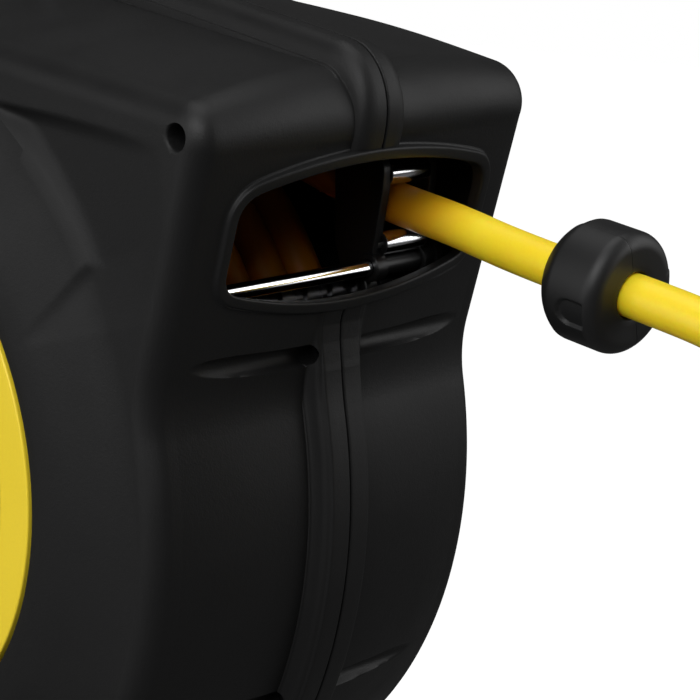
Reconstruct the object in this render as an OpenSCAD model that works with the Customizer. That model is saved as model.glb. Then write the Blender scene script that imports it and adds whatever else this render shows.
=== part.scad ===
// Wall-mounted spring-rewind hose reel: a moulded casing in two halves on a swivel bracket,
// a spring-driven drum, a self-reversing guide that lays the hose, and the hose with its stopper.
// Axes: +X forward, where the hose leaves; +Z up; the drum turns about Y.
// The origin is the centre of the wall bracket's bolt pattern, on the wall.

/* [Casing] */
// Radius of the casing round the drum, at its edges
case_r = 169.5; // [160:0.5:200]
// Half the casing's width at its outer edges, on the left
case_half_w = 76.8; // [74:0.1:90]
// How much further out the right half reaches, on the gears' side
right_extra = 6; // [4:0.5:8]
// Wall thickness of the moulded halves
wall = 3; // [2.5:0.1:4]
// How far the outer face is crowned between its edges and the middle
crown = 7; // [4:0.5:9]
// Height of the central ridge over the casing's edges, round the drum
ridge_h = 15.5; // [12:0.5:18]
// Half the width of the central ridge
ridge_half_w = 10; // [8:0.5:12]
// Rounding of the casing's long edges
edge_r = 10; // [7:0.5:11]
// Slope of the casing's top, in degrees below level towards the front
top_pitch = 7; // [4:0.5:12]
// Lean of the casing's front face, in degrees from upright
front_lean = 17.6; // [12:0.1:22]
// Distance of the front face's plane from the drum's axis
front_d = 145.3; // [140:0.1:170]
// Rounding between the front face and the top
head_r = 14; // [10:1:20]
// Hollow rounding between the front face and the drum housing
waist_r = 47; // [40:1:60]
// Radius of the round side covers
disc_r = 108; // [95:1:112]
// Distance of the side covers' outer faces from the casing's edges
disc_proud = 7.6; // [6:0.1:12]

/* [Window] */
// Half the width of the hose window
window_half_w = 55.8; // [50:0.1:60]
// Height of the window's bottom edge at its ends, above the drum's axis
window_low = 81.7; // [78:0.1:86]
// Height of the window's top edge at its ends, above the drum's axis
window_high = 114; // [110:0.1:120]
// How far the window's top and bottom edges bow out at the middle
window_bow = 9; // [5:0.5:12]
// Width of the raised rim round the window
rim_w = 4; // [3:0.5:6]

/* [Hose] */
// Outer diameter of the hose
hose_d = 15.5; // [13:0.1:15.5]
// Step of the winding from turn to turn
hose_pitch = 16; // [16:0.1:17]
// Radius of the outer layer's centreline
wind_r = 123; // [120:0.5:126]
// Diameter of the stopper ball
stopper_d = 43.5; // [40:0.5:52]
// Length of the stopper along the hose
stopper_len = 29; // [26:1:36]

/* [Drum] */
// Radius of the drum's core
core_r = 84; // [80:1:88]
// Radius of the drum's flanges
flange_r = 145; // [140:1:150]
// Half the distance between the flanges
drum_half_w = 57; // [56:0.5:58]
// Thickness of a flange
flange_t = 3; // [2.5:0.1:3.5]
// Radius of the hollow axle
axle_r = 11; // [9:0.5:12]
// Thickness of the power spring's strip
strip_t = 0.8; // [0.5:0.1:1.2]

/* [Guide] */
// Sideways place of the hose at rest, which is the end of the guide's travel
guide_y = 43; // [38:0.5:43]
// Radius of the guide's rollers
roller_r = 4.5; // [4:0.1:5]
// Radius of the reversing screw
screw_r = 6; // [5:0.5:7]
// Radius of the guide rod
rod_r = 3; // [2.5:0.1:4]
// Gear module
gear_m = 1.5; // [1.5:0.1:1.5]

/* [Handle] */
// Height of the handle's bar over the drum's axis
handle_z = 244; // [240:1:260]
// Thickness of the handle's bar
handle_t = 20; // [16:1:24]

/* [Wall bracket] */
// Distance of the swivel axis from the wall
pivot_x = 110; // [108:1:130]
// Distance of the drum's axis from the swivel axis
pivot_to_drum = 210; // [208:1:230]
// Radius of the swivel rod
pivot_r = 8; // [6:0.5:9]
// Bolt spacing of the wall plate, across
bolt_y = 80; // [60:5:90]
// Bolt spacing of the wall plate, up and down
bolt_z = 210; // [200:5:220]
// Radius of the wall plate's bolt holes
bolt_hole_r = 4.5; // [3:0.5:5.5]
// Thickness of the wall plate and its arms
plate_t = 5; // [4:0.5:8]

/* [Hidden] */
$fn = 64;

black = "#1d1d1f";
dark_grey = "#2b2b2e";
yellow = "#e8c533";
steel = "#a9abae";
chrome = "#d9dbde";
brass = "#c9a44a";
bronze = "#a9773d";

fit = 0.05;        // radial clearance of a running fit
gap = 0.3;         // clearance between pieces that pass each other
drum_x = pivot_x + pivot_to_drum;

// =====================================================================================
// Placing
// =====================================================================================

function unit(a) = [cos(a), sin(a)];
function mix(a, b, t) = a + (b - a) * t;
function ease(t) = t * t * (3 - 2 * t);

module at(p) translate([p[0], 0, p[1]]) children();
module in_casing() translate([drum_x, 0, 0]) children();
module y_cyl(r, y0, y1) translate([0, y1, 0]) rotate([90, 0, 0]) cylinder(r = r, h = y1 - y0);
module y_tube(r_out, r_in, y0, y1) difference() {
    y_cyl(r_out, y0, y1);
    y_cyl(r_in, y0 - 1, y1 + 1);
}
// a flat outline in X and Z, extruded from y0 to y1
module xz_plate(y0, y1) translate([0, y1, 0]) rotate([90, 0, 0]) linear_extrude(y1 - y0) children();
// a flat outline in Y and Z, extruded from x0 to x1
module yz_block(x0, x1) translate([x0, 0, 0]) rotate([90, 0, 90]) linear_extrude(x1 - x0) children();
// a profile of [radius, y], turned about the drum's axis
module y_turned() rotate([-90, 0, 0]) rotate_extrude() children();
module each_bearing(angles, r) for (a = angles) rotate([0, -a, 0]) translate([r, 0, 0]) children();
module on_right(right) mirror([0, right ? 0 : 1, 0]) children();

// =====================================================================================
// Casing: its outline as stations of [point, outward normal, crown, ridge height, lift on the right]
// =====================================================================================

disc_y = case_half_w + disc_proud;
$extra = 0;              // right_extra in the right half, 0 in the left
seat_clear = 1.5;        // from a side cover's rim to the opening in a half, which is a polygon
ledge_w = 6.5;           // width of the ledge that carries a bearing plate
ledge_t = 5;             // its thickness, which the plate's screws bite into
ledge_y = disc_y - 7.2;  // distance of the ledge's face from the middle
head_crown = 3;          // crown of the head's front face
waist_ridge = 12.6;      // ridge height over the edges, where the front face starts
rim_crest = 8.2;         // height of the window's rim over the edges
top_crown_back = 10;     // crown at the top's back end
head_ridge = 7.2;        // and above the window
top_ridge_front = 15.4;  // ridge height over the edges, at the front of the top
top_ridge_back = 23.4;   // and at the top's back end
lift_front = 2.5;        // the right half's top lies this much higher than the left's at its edge, in front
lift_back = 6;           // and at the top's back end
rim_drop = 0.4;          // from a side cover's face down to the casing beside it
shoulder_r = 162;        // radius at which the side face levels out
shoulder_w = 8;          // least width of the level part

top_angle = 90 - top_pitch;
front_angle = -front_lean;
front_up = unit(front_angle + 90);
waist_c = (front_d + waist_r) * unit(front_angle)
    + sqrt(pow(case_r + waist_r, 2) - pow(front_d + waist_r, 2)) * front_up;
waist_angle = atan2(waist_c[1], waist_c[0]);
head_span = top_angle - front_angle;
head_c = (front_d - head_r) * unit(front_angle)
    + ((case_r - head_r) - (front_d - head_r) * cos(head_span)) / sin(head_span) * front_up;
front_low = waist_c - waist_r * unit(front_angle);
front_high = head_c + head_r * unit(front_angle);
top_front = head_c + head_r * unit(top_angle);
top_back = case_r * unit(top_angle);

drum_steps = 32;
waist_steps = 4;
front_steps = 5;
head_steps = 4;
top_steps = 5;
fade_steps = 4;          // the ridge falls to its height round the drum over this many steps

stations = concat(
    [for (i = [0 : drum_steps - 1])
        let (a = mix(top_angle, 360 + waist_angle, i / drum_steps), t = min(i / fade_steps, 1))
        [case_r * unit(a), unit(a), mix(top_crown_back, crown, ease(t)), mix(top_ridge_back, ridge_h, ease(t)),
            lift_back * (1 - ease(min(i / fade_steps / 2, 1)))]],
    [for (i = [0 : waist_steps - 1])
        let (t = i / waist_steps, a = mix(waist_angle, front_angle, t))
        [waist_c - waist_r * unit(a), unit(a), crown, mix(ridge_h, waist_ridge, t * t), 0]],
    [for (i = [0 : front_steps - 1])
        let (t = i / front_steps)
        [mix(front_low, front_high, t), unit(front_angle), mix(crown, head_crown, t),
            i == 0 ? waist_ridge : head_ridge, 0]],
    [for (i = [0 : head_steps - 1])
        let (t = i / head_steps, a = mix(front_angle, top_angle, t))
        [head_c + head_r * unit(a), unit(a), mix(head_crown, crown, t),
            mix(head_ridge, top_ridge_front, ease(t)), lift_front * t]],
    [for (i = [0 : top_steps - 1])
        let (t = i / top_steps)
        [mix(top_front, top_back, t), unit(top_angle), mix(crown, top_crown_back, t),
            mix(top_ridge_front, top_ridge_back, t), mix(lift_front, lift_back, t)]]);

// height of the crowned face over the edges, at a distance y from the middle
function crown_at(c, y) =
    let (t = max(y - ridge_half_w, 0) / (case_half_w - edge_r - ridge_half_w)) c * (1 - t * t);
// a distance from the middle, spread out in the wider half
function wide(y) = y + $extra * min(max((y - ridge_half_w - 2) / 40, 0), 1);
// a point of a station: out by d along its normal, at distance y from the middle
function on(s, d, y) = let (
    lift = $extra > 0 ? s[4] * min(max((y - ridge_half_w - 6) / 46, 0), 1) : 0,
    p = s[0] + (d + lift) * s[1]) [p[0], wide(y), p[1]];
function round_edge(s, a, r) = on(s, r * sin(a) - edge_r, case_half_w - edge_r + r * cos(a));
// the same bearing from the drum's axis, at radius r
function bearing(s, r, y) = let (p = r * s[0] / norm(s[0])) [p[0], wide(y), p[1]];
function side_y(r) =
    disc_y - rim_drop - (disc_proud - rim_drop) * min((r - disc_r) / (shoulder_r - disc_r), 1);
function mid_r(s) = min(shoulder_r, norm(s[0]) - edge_r - shoulder_w);

seat_r = disc_r + seat_clear;
crown_ys = [56, 40, 25];
round_angles = [0, 25, 50, 76];
ridge_round = 1.5;

function outer_rings(s) = concat(
    [bearing(s, seat_r, side_y(seat_r)), bearing(s, mid_r(s), side_y(mid_r(s)))],
    [for (a = round_angles) round_edge(s, a, edge_r)],
    [for (y = crown_ys) on(s, crown_at(s[2], y), y)],
    [on(s, s[2], ridge_half_w + 0.6), on(s, max(s[3] - ridge_round, s[2]), ridge_half_w),
        on(s, s[3], ridge_half_w - ridge_round), on(s, s[3], 0)]);

function inner_rings(s) = concat(
    [on(s, s[2] - wall, 0)],
    [for (i = [len(crown_ys) - 1 : -1 : 0]) on(s, crown_at(s[2], crown_ys[i]) - wall, crown_ys[i])],
    [for (i = [len(round_angles) - 1 : -1 : 0]) round_edge(s, round_angles[i], edge_r - wall)],
    [bearing(s, mid_r(s), side_y(mid_r(s)) - wall),
        bearing(s, seat_r - ledge_w, ledge_y - ledge_t),
        bearing(s, seat_r - ledge_w, ledge_y),
        bearing(s, seat_r, ledge_y)]);

// a closed skin over rings of points, one ring per station, closed all the way round both ways
module ring_skin(rings) {
    n = len(rings);
    m = len(rings[0]);
    polyhedron(
        points = [for (r = rings) each r],
        faces = [for (i = [0 : n - 1], j = [0 : m - 1])
            let (a = i * m + j, b = i * m + (j + 1) % m,
                c = ((i + 1) % n) * m + (j + 1) % m, d = ((i + 1) % n) * m + j)
            each [[a, b, c], [a, c, d]]],
        convexity = 8);
}

// the outline of the casing in X and Z at the ridge's top, or at the crown beside it
function ridge_outline(d) = [for (s = stations) s[0] + (s[3] + d) * s[1]];
function crown_outline(d) = [for (s = stations) s[0] + (s[2] + d) * s[1]];

// Screws that join the halves pass through the ridge, at the end of leaf-shaped pockets
pocket_angles = [17, -27, -71, -115, -148, 148];
pocket_at = case_r + 6.5;
pocket_r = 4.2;
pocket_end = 62;
pocket_start = 4;
join_r = 2;
join_flange_r = 8;
// and two pass through the head: one above the window, one through the deep hole in its side
head_join = [182.4, 136.4];
head_hole_r = 4.5;
head_hole_y = 20;

waist_rise = 7;          // how much further out the one in the waist lies
module each_pocket() for (a = pocket_angles)
    rotate([0, -a, 0]) translate([pocket_at + (a > 0 && a < 90 ? waist_rise : 0), 0, 0]) children();
module along_pockets(y0, y1, r, sides) each_pocket() y_cyl(r, y0, y1, $fn = sides);

// solid backs behind the pockets, under the skin all along
back_drop = 2.4;
module pocket_backs() each_pocket() translate([-pocket_r - back_drop, 0, 0]) hull() {
    y_cyl(pocket_r + 1, 0, ridge_half_w + 6, $fn = 12);
    translate([-3, 0, 0]) y_cyl(pocket_r + 1, 0, wide(pocket_end - 9), $fn = 12);
}

window_outline_n = 6;
function window_edge(z, bow, w) =
    [for (i = [-window_outline_n : window_outline_n]) let (t = i / window_outline_n)
        [sign(t) * wide(abs(t) * w), z + bow * (1 - t * t)]];
module window_outline(grow) {
    low = window_edge(window_low - grow, -window_bow, window_half_w + grow);
    high = window_edge(window_high + grow, window_bow, window_half_w + grow);
    polygon(concat(low, [for (i = [len(high) - 1 : -1 : 0]) high[i]]));
}

rim_bow_r = 300;         // the rim stands prouder at the middle than at the ends
module window_rim() intersection() {
    yz_block(front_d, 240) difference() {
        window_outline(rim_w);
        window_outline(-0.1);
        translate([-100, 0]) square([100, 200]);
    }
    rotate([0, front_lean, 0]) translate([front_d + rim_crest - rim_bow_r, 0, 0])
        cylinder(r = rim_bow_r, h = 240, $fn = 128);
    rotate([0, front_lean, 0]) translate([front_d - wall, 0, 40]) cube([20, 100, 200]);
}

bolt_r = 2.5;
bolt_head_r = 4.6;
bolt_up = crown + bolt_head_r + 0.6;   // a bolt's height over the casing's edges
hinge_bolt_z = 52;
hinge_bolts_at = [for (z = [-hinge_bolt_z, hinge_bolt_z])
    let (r = case_r + bolt_up) [-sqrt(r * r - z * z), z]];
handle_front = [38, 0];
top_line_z = case_r / sin(top_angle) - handle_front[0] / tan(top_angle);
handle_bolts_at = [[handle_front[0], top_line_z + bolt_up + top_crown_back - crown], (case_r + bolt_up) * unit(131)];

module half_holes() {
    along_pockets(pocket_start, wide(pocket_end), pocket_r, 12);
    along_pockets(-1, ridge_half_w + 1, join_r + 0.3, 8);
    at(head_join) {
        y_cyl(head_hole_r, head_hole_y, 100, $fn = 16);
        y_cyl(join_r + 0.3, -1, 100, $fn = 8);
    }
    for (p = concat(hinge_bolts_at, handle_bolts_at)) at(p) y_cyl(bolt_r + 0.3, -1, ridge_half_w + 3, $fn = 8);
    plate_screw_holes();
}

module half_case() {
    difference() {
        union() {
            ring_skin([for (s = stations) concat(outer_rings(s), inner_rings(s))]);
            pocket_backs();
            window_rim();
            at(head_join) y_cyl(head_hole_r + 2.2, 0, wide(case_half_w - 2.4), $fn = 16);
        }
        yz_block(100, 260) window_outline(0);
        half_holes();
        guide_post_seats();
    }
}

module left_shell() color(black) in_casing() on_right(false) half_case();
module right_shell() color(black) in_casing() half_case($extra = right_extra);

// a cap screw along Y, its head outwards
module y_screw(r, head, y0, y1) {
    y_cyl(r, y0, y1);
    difference() {
        y_cyl(head, y1, y1 + r * 1.2);
        translate([0, y1 + r * 2, 0]) rotate([90, 0, 0]) cylinder(r = r * 0.7, h = r * 1.4, $fn = 6);
    }
}

module casing_screws() color(steel) in_casing() on_right(false) {
    each_pocket() y_screw(join_r, 3.6, -pocket_start + 1, pocket_start);
    at(head_join) y_screw(join_r, 3.9, -head_hole_y + 1, head_hole_y);
}

// =====================================================================================
// Side: bearing plates, covers, axle
// =====================================================================================

bearing_t = 3;
bearing_r = disc_r - 0.2;
boss_r = 24;
rib_depth = 4.5;
plate_screw_angles = [30 : 60 : 330];
plate_screw_at = seat_r - ledge_w / 2 - 1;
plate_screw_r = 1.8;
left_boss_y = 62.4;      // a boss reaches inwards this far on the ratchet's side
right_boss_y = 69.6;     // and this far on the gears' side
left_ring_y = 61.1;
right_ring_y = 68.4;

module plate_screw_holes()
    translate([0, $extra, 0]) each_bearing(plate_screw_angles, plate_screw_at)
        y_cyl(plate_screw_r + 0.3, ledge_y - 8, ledge_y + 1, $fn = 8);

module bearing_plate(boss_y) difference() {
    union() {
        y_cyl(bearing_r, ledge_y, ledge_y + bearing_t);
        y_cyl(boss_r, boss_y, ledge_y + 1);
        each_bearing([0 : 45 : 315], 0) translate([boss_r - 3, ledge_y - rib_depth, -1.5])
            cube([seat_r - ledge_w - boss_r, rib_depth + 1, 3]);
    }
    y_cyl(axle_r + fit, boss_y - 1, disc_y);
    each_bearing(plate_screw_angles, plate_screw_at) y_cyl(plate_screw_r + 0.2, ledge_y - 1, disc_y);
}

module left_bearing_plate() color(dark_grey) in_casing() on_right(false) difference() {
    union() {
        bearing_plate(left_boss_y);
        at(pawl_at) y_cyl(5, ratchet_y1 + 2.5, ledge_y + 1);
    }
    at(pawl_at) y_cyl(pawl_stud_r + fit, ratchet_y1, disc_y);
}

module right_bearing_plate() color(dark_grey) in_casing() translate([0, right_extra, 0]) difference() {
    union() {
        bearing_plate(right_boss_y - right_extra);
        at(idler_at) y_cyl(stud_r + 5, gear_y1 + 1.5 - right_extra, ledge_y + 1);
    }
    at(idler_at) y_cyl(stud_r + fit, gear_y1 - right_extra, disc_y);
}

module plate_screws() color(steel) in_casing() for (right = [false, true]) on_right(right)
    translate([0, right ? right_extra : 0, 0]) each_bearing(plate_screw_angles, plate_screw_at) {
        y_cyl(plate_screw_r, ledge_y - 5, ledge_y + bearing_t);
        y_cyl(plate_screw_r + 1.3, ledge_y + bearing_t, ledge_y + bearing_t + 0.9);
    }

disc_wall = 2.5;
disc_round = 2.8;
// the section of a side cover: a rounded rim, a level band, and a dished middle
module disc_section(hole) polygon(concat(
    [[hole, disc_y - 1.6 - disc_wall], [disc_r - disc_wall - 0.6, disc_y - disc_wall],
        [disc_r - disc_wall - 0.6, ledge_y + bearing_t + 1.3], [disc_r, ledge_y + bearing_t + 1.3]],
    [for (a = [0 : 15 : 90]) [disc_r - disc_round, disc_y - disc_round] + disc_round * unit(a)],
    [[disc_r - 18, disc_y], [disc_r - 20, disc_y - 1], [hole, disc_y - 1.6]]));

inlet_hole_r = 24;
module left_side_disc() color(yellow) in_casing() on_right(false) difference() {
    y_turned() polygon(concat([[0, disc_y - 1.6 - disc_wall]],
        [[boss_r + 4, disc_y - 1.6 - disc_wall], [disc_r - disc_wall - 0.6, disc_y - disc_wall],
            [disc_r - disc_wall - 0.6, ledge_y + bearing_t + 1.3], [disc_r, ledge_y + bearing_t + 1.3]],
        [for (a = [0 : 15 : 90]) [disc_r - disc_round, disc_y - disc_round] + disc_round * unit(a)],
        [[disc_r - 18, disc_y], [disc_r - 20, disc_y - 1], [boss_r + 6, disc_y - 1.6],
            [boss_r + 3, disc_y], [0, disc_y]]));
    each_bearing([60 : 120 : 300], disc_r - 12) y_cyl(1.7, ledge_y, disc_y + 1);
}

module right_side_disc() color(yellow) in_casing() translate([0, right_extra, 0]) difference() {
    y_turned() disc_section(inlet_hole_r);
    each_bearing([60 : 120 : 300], disc_r - 12) y_cyl(1.7, ledge_y, disc_y + 1);
}

axle_bore_r = 5;
axle_end = disc_y + right_extra + 3;
port_y = 20;
port_r = 3.5;
module axle() color(steel) in_casing() difference() {
    y_cyl(axle_r, -ledge_y - bearing_t, axle_end);
    y_cyl(axle_bore_r, 0, axle_end + 1);
    at([0, 0]) translate([0, port_y, 0]) cylinder(r = port_r, h = axle_r + 1);
    for (y = [-left_ring_y - 1, right_ring_y]) y_tube(axle_r + 1, axle_r - 1, y, y + 1);
}

module axle_rings() color(steel) in_casing() for (y = [-left_ring_y - 1, right_ring_y])
    y_tube(axle_r + 2.2, axle_r - 0.95, y + 0.02, y + 0.98);

elbow_r = 14;
branch_r = 8.5;
nut_r = 10.5;
thread_r = 8.3;
thread_len = 12;
inlet_len = 44;
inlet_y = disc_y + right_extra - 1.6 + nut_r;   // the branch stands clear of the cover's dished middle
module inlet_elbow() color(brass) in_casing() difference() {
    union() {
        y_cyl(elbow_r, disc_y + right_extra - 3.2, inlet_y + branch_r);
        translate([0, inlet_y, -inlet_len + thread_len]) cylinder(r = branch_r, h = inlet_len - thread_len);
        translate([0, inlet_y, -inlet_len]) cylinder(r = thread_r, h = thread_len + 1);
        translate([0, inlet_y, -inlet_len + thread_len - 1]) cylinder(r = nut_r, h = 8, $fn = 6);
    }
    y_cyl(axle_r + 0.01, 0, axle_end);
    y_cyl(axle_bore_r, 0, inlet_y + 4);
    translate([0, inlet_y, -inlet_len - 1]) cylinder(r = axle_bore_r, h = inlet_len);
}

// =====================================================================================
// Carry handle, and the swivel bracket on the wall
// =====================================================================================

handle_half_w = 14;
cheek_depth = 12;
handle_back = [-118, 132];
module handle_outline() difference() {
    hull() {
        translate([handle_front[0] - 18, handle_z - 24]) circle(r = 24, $fn = 48);
        translate([handle_back[0] + 20, handle_z - 24]) circle(r = 24, $fn = 48);
        translate([handle_front[0] + 2, 168]) circle(r = 12, $fn = 32);
        translate(handle_back) circle(r = 14, $fn = 32);
    }
    hull() {
        translate([handle_front[0] - 26, handle_z - handle_t - 14]) circle(r = 14, $fn = 48);
        translate([handle_back[0] + 30, handle_z - handle_t - 14]) circle(r = 14, $fn = 48);
        translate([handle_front[0] - 26, 160]) circle(r = 6, $fn = 32);
        translate([handle_back[0] + 30, 136]) circle(r = 6, $fn = 32);
    }
}

module carry_handle() color(black) in_casing() difference() {
    xz_plate(-handle_half_w, handle_half_w) difference() {
        handle_outline();
        polygon(crown_outline(gap));
    }
    xz_plate(-ridge_half_w - 1, ridge_half_w + 1) polygon(ridge_outline(gap));
    for (p = handle_bolts_at) at(p) y_cyl(bolt_r + fit, -20, 20);
}

// a bolt with its nut, across the ridge
module cross_bolt(half) {
    y_cyl(bolt_r, -half - 4, half);
    y_cyl(bolt_head_r, half, half + 3);
    difference() {
        translate([0, -half, 0]) rotate([90, 0, 0]) cylinder(r = bolt_head_r, h = 3, $fn = 6);
        y_cyl(bolt_r, -half - 4, half);
    }
}

module handle_bolts() color(steel) in_casing() for (p = handle_bolts_at) at(p) cross_bolt(handle_half_w);

block_half_w = 22;
block_half_z = 70;
block_nose_r = 15;
pivot_at = -pivot_to_drum;
bush_len = 20;
bush_t = 3;
bush_flange_t = 1;

module hinge_block() color(dark_grey) in_casing() difference() {
    union() {
        translate([pivot_at, 0, -block_half_z]) cylinder(r = block_nose_r, h = 2 * block_half_z);
        translate([0, 0, -block_half_z]) linear_extrude(2 * block_half_z)
            polygon([[pivot_at, -block_nose_r], [pivot_at + 16, -block_half_w], [-150, -block_half_w],
                [-150, block_half_w], [pivot_at + 16, block_half_w], [pivot_at, block_nose_r]]);
    }
    y_cyl(case_r + crown + gap, -40, 40);
    y_cyl(case_r + ridge_h + gap, -ridge_half_w - 1, ridge_half_w + 1);
    translate([pivot_at, 0, -100]) cylinder(r = pivot_r + bush_t + 1, h = 200);
    for (p = hinge_bolts_at) at(p) y_cyl(bolt_r + fit, -40, 40);
}

module hinge_bolts() color(steel) in_casing() for (p = hinge_bolts_at) at(p) cross_bolt(block_half_w);

module pivot_bushes() color(bronze) in_casing() for (up = [0, 1]) translate([pivot_at, 0, 0])
    mirror([0, 0, 1 - up]) difference() {
        union() {
            translate([0, 0, block_half_z - bush_len]) cylinder(r = pivot_r + bush_t + 1, h = bush_len);
            translate([0, 0, block_half_z]) cylinder(r = block_nose_r, h = bush_flange_t);
        }
        cylinder(r = pivot_r + fit, h = 200);
    }

arm_z = block_half_z + bush_flange_t + gap;
arm_half_w = 36;
arm_end_r = 18;
bracket_half_y = bolt_y / 2 + 15;
bracket_half_z = bolt_z / 2 + 20;

module wall_bracket() color(dark_grey) difference() {
    union() {
        translate([0, -bracket_half_y, -bracket_half_z]) cube([plate_t, 2 * bracket_half_y, 2 * bracket_half_z]);
        for (up = [0, 1]) mirror([0, 0, 1 - up]) translate([0, 0, arm_z]) {
            linear_extrude(plate_t + 1) polygon([[1, -arm_half_w], [pivot_x, -arm_end_r],
                [pivot_x, arm_end_r], [1, arm_half_w]]);
            translate([pivot_x, 0, 0]) cylinder(r = arm_end_r, h = plate_t + 1);
            for (s = [-1, 1]) translate([0, s * 22 - 2, plate_t]) rotate([90, 0, 0]) mirror([0, 0, 1])
                linear_extrude(4) polygon([[1, 0], [60, 0], [1, 28]]);
        }
    }
    for (y = [-1, 1], z = [-1, 1]) translate([-1, y * bolt_y / 2, z * bolt_z / 2]) rotate([0, 90, 0])
        cylinder(r = bolt_hole_r, h = plate_t + 2);
    translate([pivot_x, 0, -200]) cylinder(r = pivot_r + fit, h = 400);
}

rod_end = arm_z + plate_t + 7;
clip_z = arm_z + plate_t + 1.4;
module pivot_rod() color(steel) translate([pivot_x, 0, 0]) difference() {
    union() {
        translate([0, 0, -rod_end]) cylinder(r = pivot_r, h = 2 * rod_end);
        translate([0, 0, clip_z]) cylinder(r = pivot_r + 4, h = 4);
    }
    translate([0, 0, -clip_z - 1.2]) difference() {
        cylinder(r = pivot_r + 1, h = 1.2);
        cylinder(r = pivot_r - 1, h = 1.2);
    }
}
module pivot_clips() color(steel) translate([pivot_x, 0, -clip_z - 1.15]) difference() {
    cylinder(r = pivot_r + 3.5, h = 1.1);
    translate([0, 0, -1]) cylinder(r = pivot_r - 0.95, h = 4);
    translate([0, -3, -1]) cube([30, 6, 4]);
}

// =====================================================================================
// Drum
// =====================================================================================

core_wall = 4;
hub_r = 22;
bush_r = 14;
hub_end = 60.5;
left_hub_y = 48.2;       // the spring's cassette reaches out to here
web_t = 3;
mid_web_y = -20;
right_web_y = 44;
cassette_r = 67.4;
spring_y0 = -47.5;
spring_y1 = -22.5;
screw_boss_at = 74.5;
flange_screw_angles = [0 : 60 : 300];
pipe_r = 6.5;
core_in_r = core_r - core_wall;

module drum_core() color(dark_grey) in_casing() difference() {
    union() {
        y_tube(core_r, core_in_r, -drum_half_w, drum_half_w);
        y_tube(core_in_r + 1, 19.5, mid_web_y, mid_web_y + web_t);
        y_tube(core_in_r + 1, bush_r + fit, right_web_y, right_web_y + web_t);
        y_tube(hub_r, bush_r + fit, right_web_y, hub_end);
        each_bearing(flange_screw_angles, screw_boss_at) {
            y_cyl(5.2, right_web_y, drum_half_w);
            y_cyl(5.2, -drum_half_w, mid_web_y + 1);
        }
    }
    each_bearing([30 : 60 : 330], 50) y_cyl(13, right_web_y - 1, right_web_y + web_t + 1);
    each_bearing(flange_screw_angles, screw_boss_at) {
        y_cyl(1.75, drum_half_w - 12, drum_half_w + 1);
        y_cyl(1.75, -drum_half_w - 1, -drum_half_w + 12);
    }
    translate([0, port_y, 0]) cylinder(r = pipe_r + 0.2, h = 200);
}

ratchet_teeth = 24;
ratchet_r = 84;
ratchet_root_r = 79;
ratchet_y0 = drum_half_w + flange_t;
ratchet_y1 = ratchet_y0 + 5;
ratchet_phase = 1.5;

// teeth that rise slowly and drop square, so that the pawl holds them one way round
module ratchet_outline() difference() {
    polygon([for (i = [0 : ratchet_teeth - 1]) let (a = ratchet_phase + i * 360 / ratchet_teeth)
        each [ratchet_root_r * unit(a), ratchet_r * unit(a + 360 / ratchet_teeth),
            ratchet_r * unit(a + 360 / ratchet_teeth + 0.01)]]);
    circle(r = ratchet_root_r - 10);
}

rim_bead = 1.6;
module flange_rim() y_turned() translate([flange_r - rim_bead, drum_half_w + flange_t / 2]) circle(r = rim_bead + 0.2);

module flange_plate(hole) difference() {
    union() {
        y_cyl(flange_r - rim_bead, drum_half_w, drum_half_w + flange_t);
        flange_rim();
    }
    y_cyl(hole, 0, 100);
    each_bearing(flange_screw_angles, screw_boss_at) y_cyl(2.2, 0, 100);
    each_bearing([30 : 60 : 330], 118) y_cyl(11, 0, 100);
}

module left_flange() color(dark_grey) in_casing() on_right(false) difference() {
    union() {
        flange_plate(bush_r + fit);
        y_tube(hub_r, bush_r + fit, left_hub_y, hub_end);
        xz_plate(ratchet_y0 - 0.5, ratchet_y1) ratchet_outline();
    }
    each_bearing(flange_screw_angles, screw_boss_at) {
        y_cyl(2.2, 0, 100);
        y_cyl(3.6, ratchet_y0, 100);
    }
}

module right_flange() color(dark_grey) in_casing() flange_plate(hub_r + fit);

module flange_screws() color(steel) in_casing() for (right = [false, true]) on_right(right)
    each_bearing(flange_screw_angles, screw_boss_at) {
        y_cyl(1.7, drum_half_w - 9, drum_half_w + flange_t);
        y_cyl(3.2, drum_half_w + flange_t, drum_half_w + flange_t + 1.4);
    }

module drum_bushes() color(bronze) in_casing() {
    y_tube(bush_r, axle_r + fit, right_web_y - 1, hub_end);
    y_tube(bush_r, axle_r + fit, -hub_end, -left_hub_y);
}

arbor_r = 17;
module spring_arbor() color(steel) in_casing() difference() {
    y_cyl(arbor_r, spring_y0, spring_y1);
    y_cyl(axle_r + fit, -100, 0);
    translate([arbor_r - 2.5, -60, -1]) cube([6, 60, 2]);
}

spring_turns = 9;
spring_r0 = arbor_r + 0.2;
spring_r1 = cassette_r - 3;
spring_fn = 30;
function spring_at(t, d) =
    (mix(spring_r0, spring_r1, t / spring_turns) + d) * unit(360 * t);
module power_spring() color(steel) in_casing() union() {
    xz_plate(spring_y0 + 0.5, spring_y1 - 0.5) polygon(concat(
        [for (i = [0 : spring_turns * spring_fn]) spring_at(i / spring_fn, 0)],
        [for (i = [spring_turns * spring_fn : -1 : 0]) spring_at(i / spring_fn, strip_t)]));
    translate([arbor_r - 2.4, spring_y0 + 0.5, -strip_t]) cube([3, spring_y1 - spring_y0 - 1, strip_t * 1.2]);
}

module spring_cassette() color(steel) in_casing() difference() {
    y_cyl(cassette_r + 1.4, -left_hub_y + 0.1, mid_web_y);
    y_cyl(cassette_r, -50, mid_web_y - 1.5);
    y_cyl(19.5, -50, 0);
}
module cassette_cover() color(steel) in_casing() difference() {
    y_cyl(cassette_r + 1.4, -left_hub_y - 3, -left_hub_y + 0.1);
    y_cyl(cassette_r - 3, -60, -left_hub_y - 1.4);
    y_cyl(hub_r + 0.3, -60, 0);
}

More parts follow.
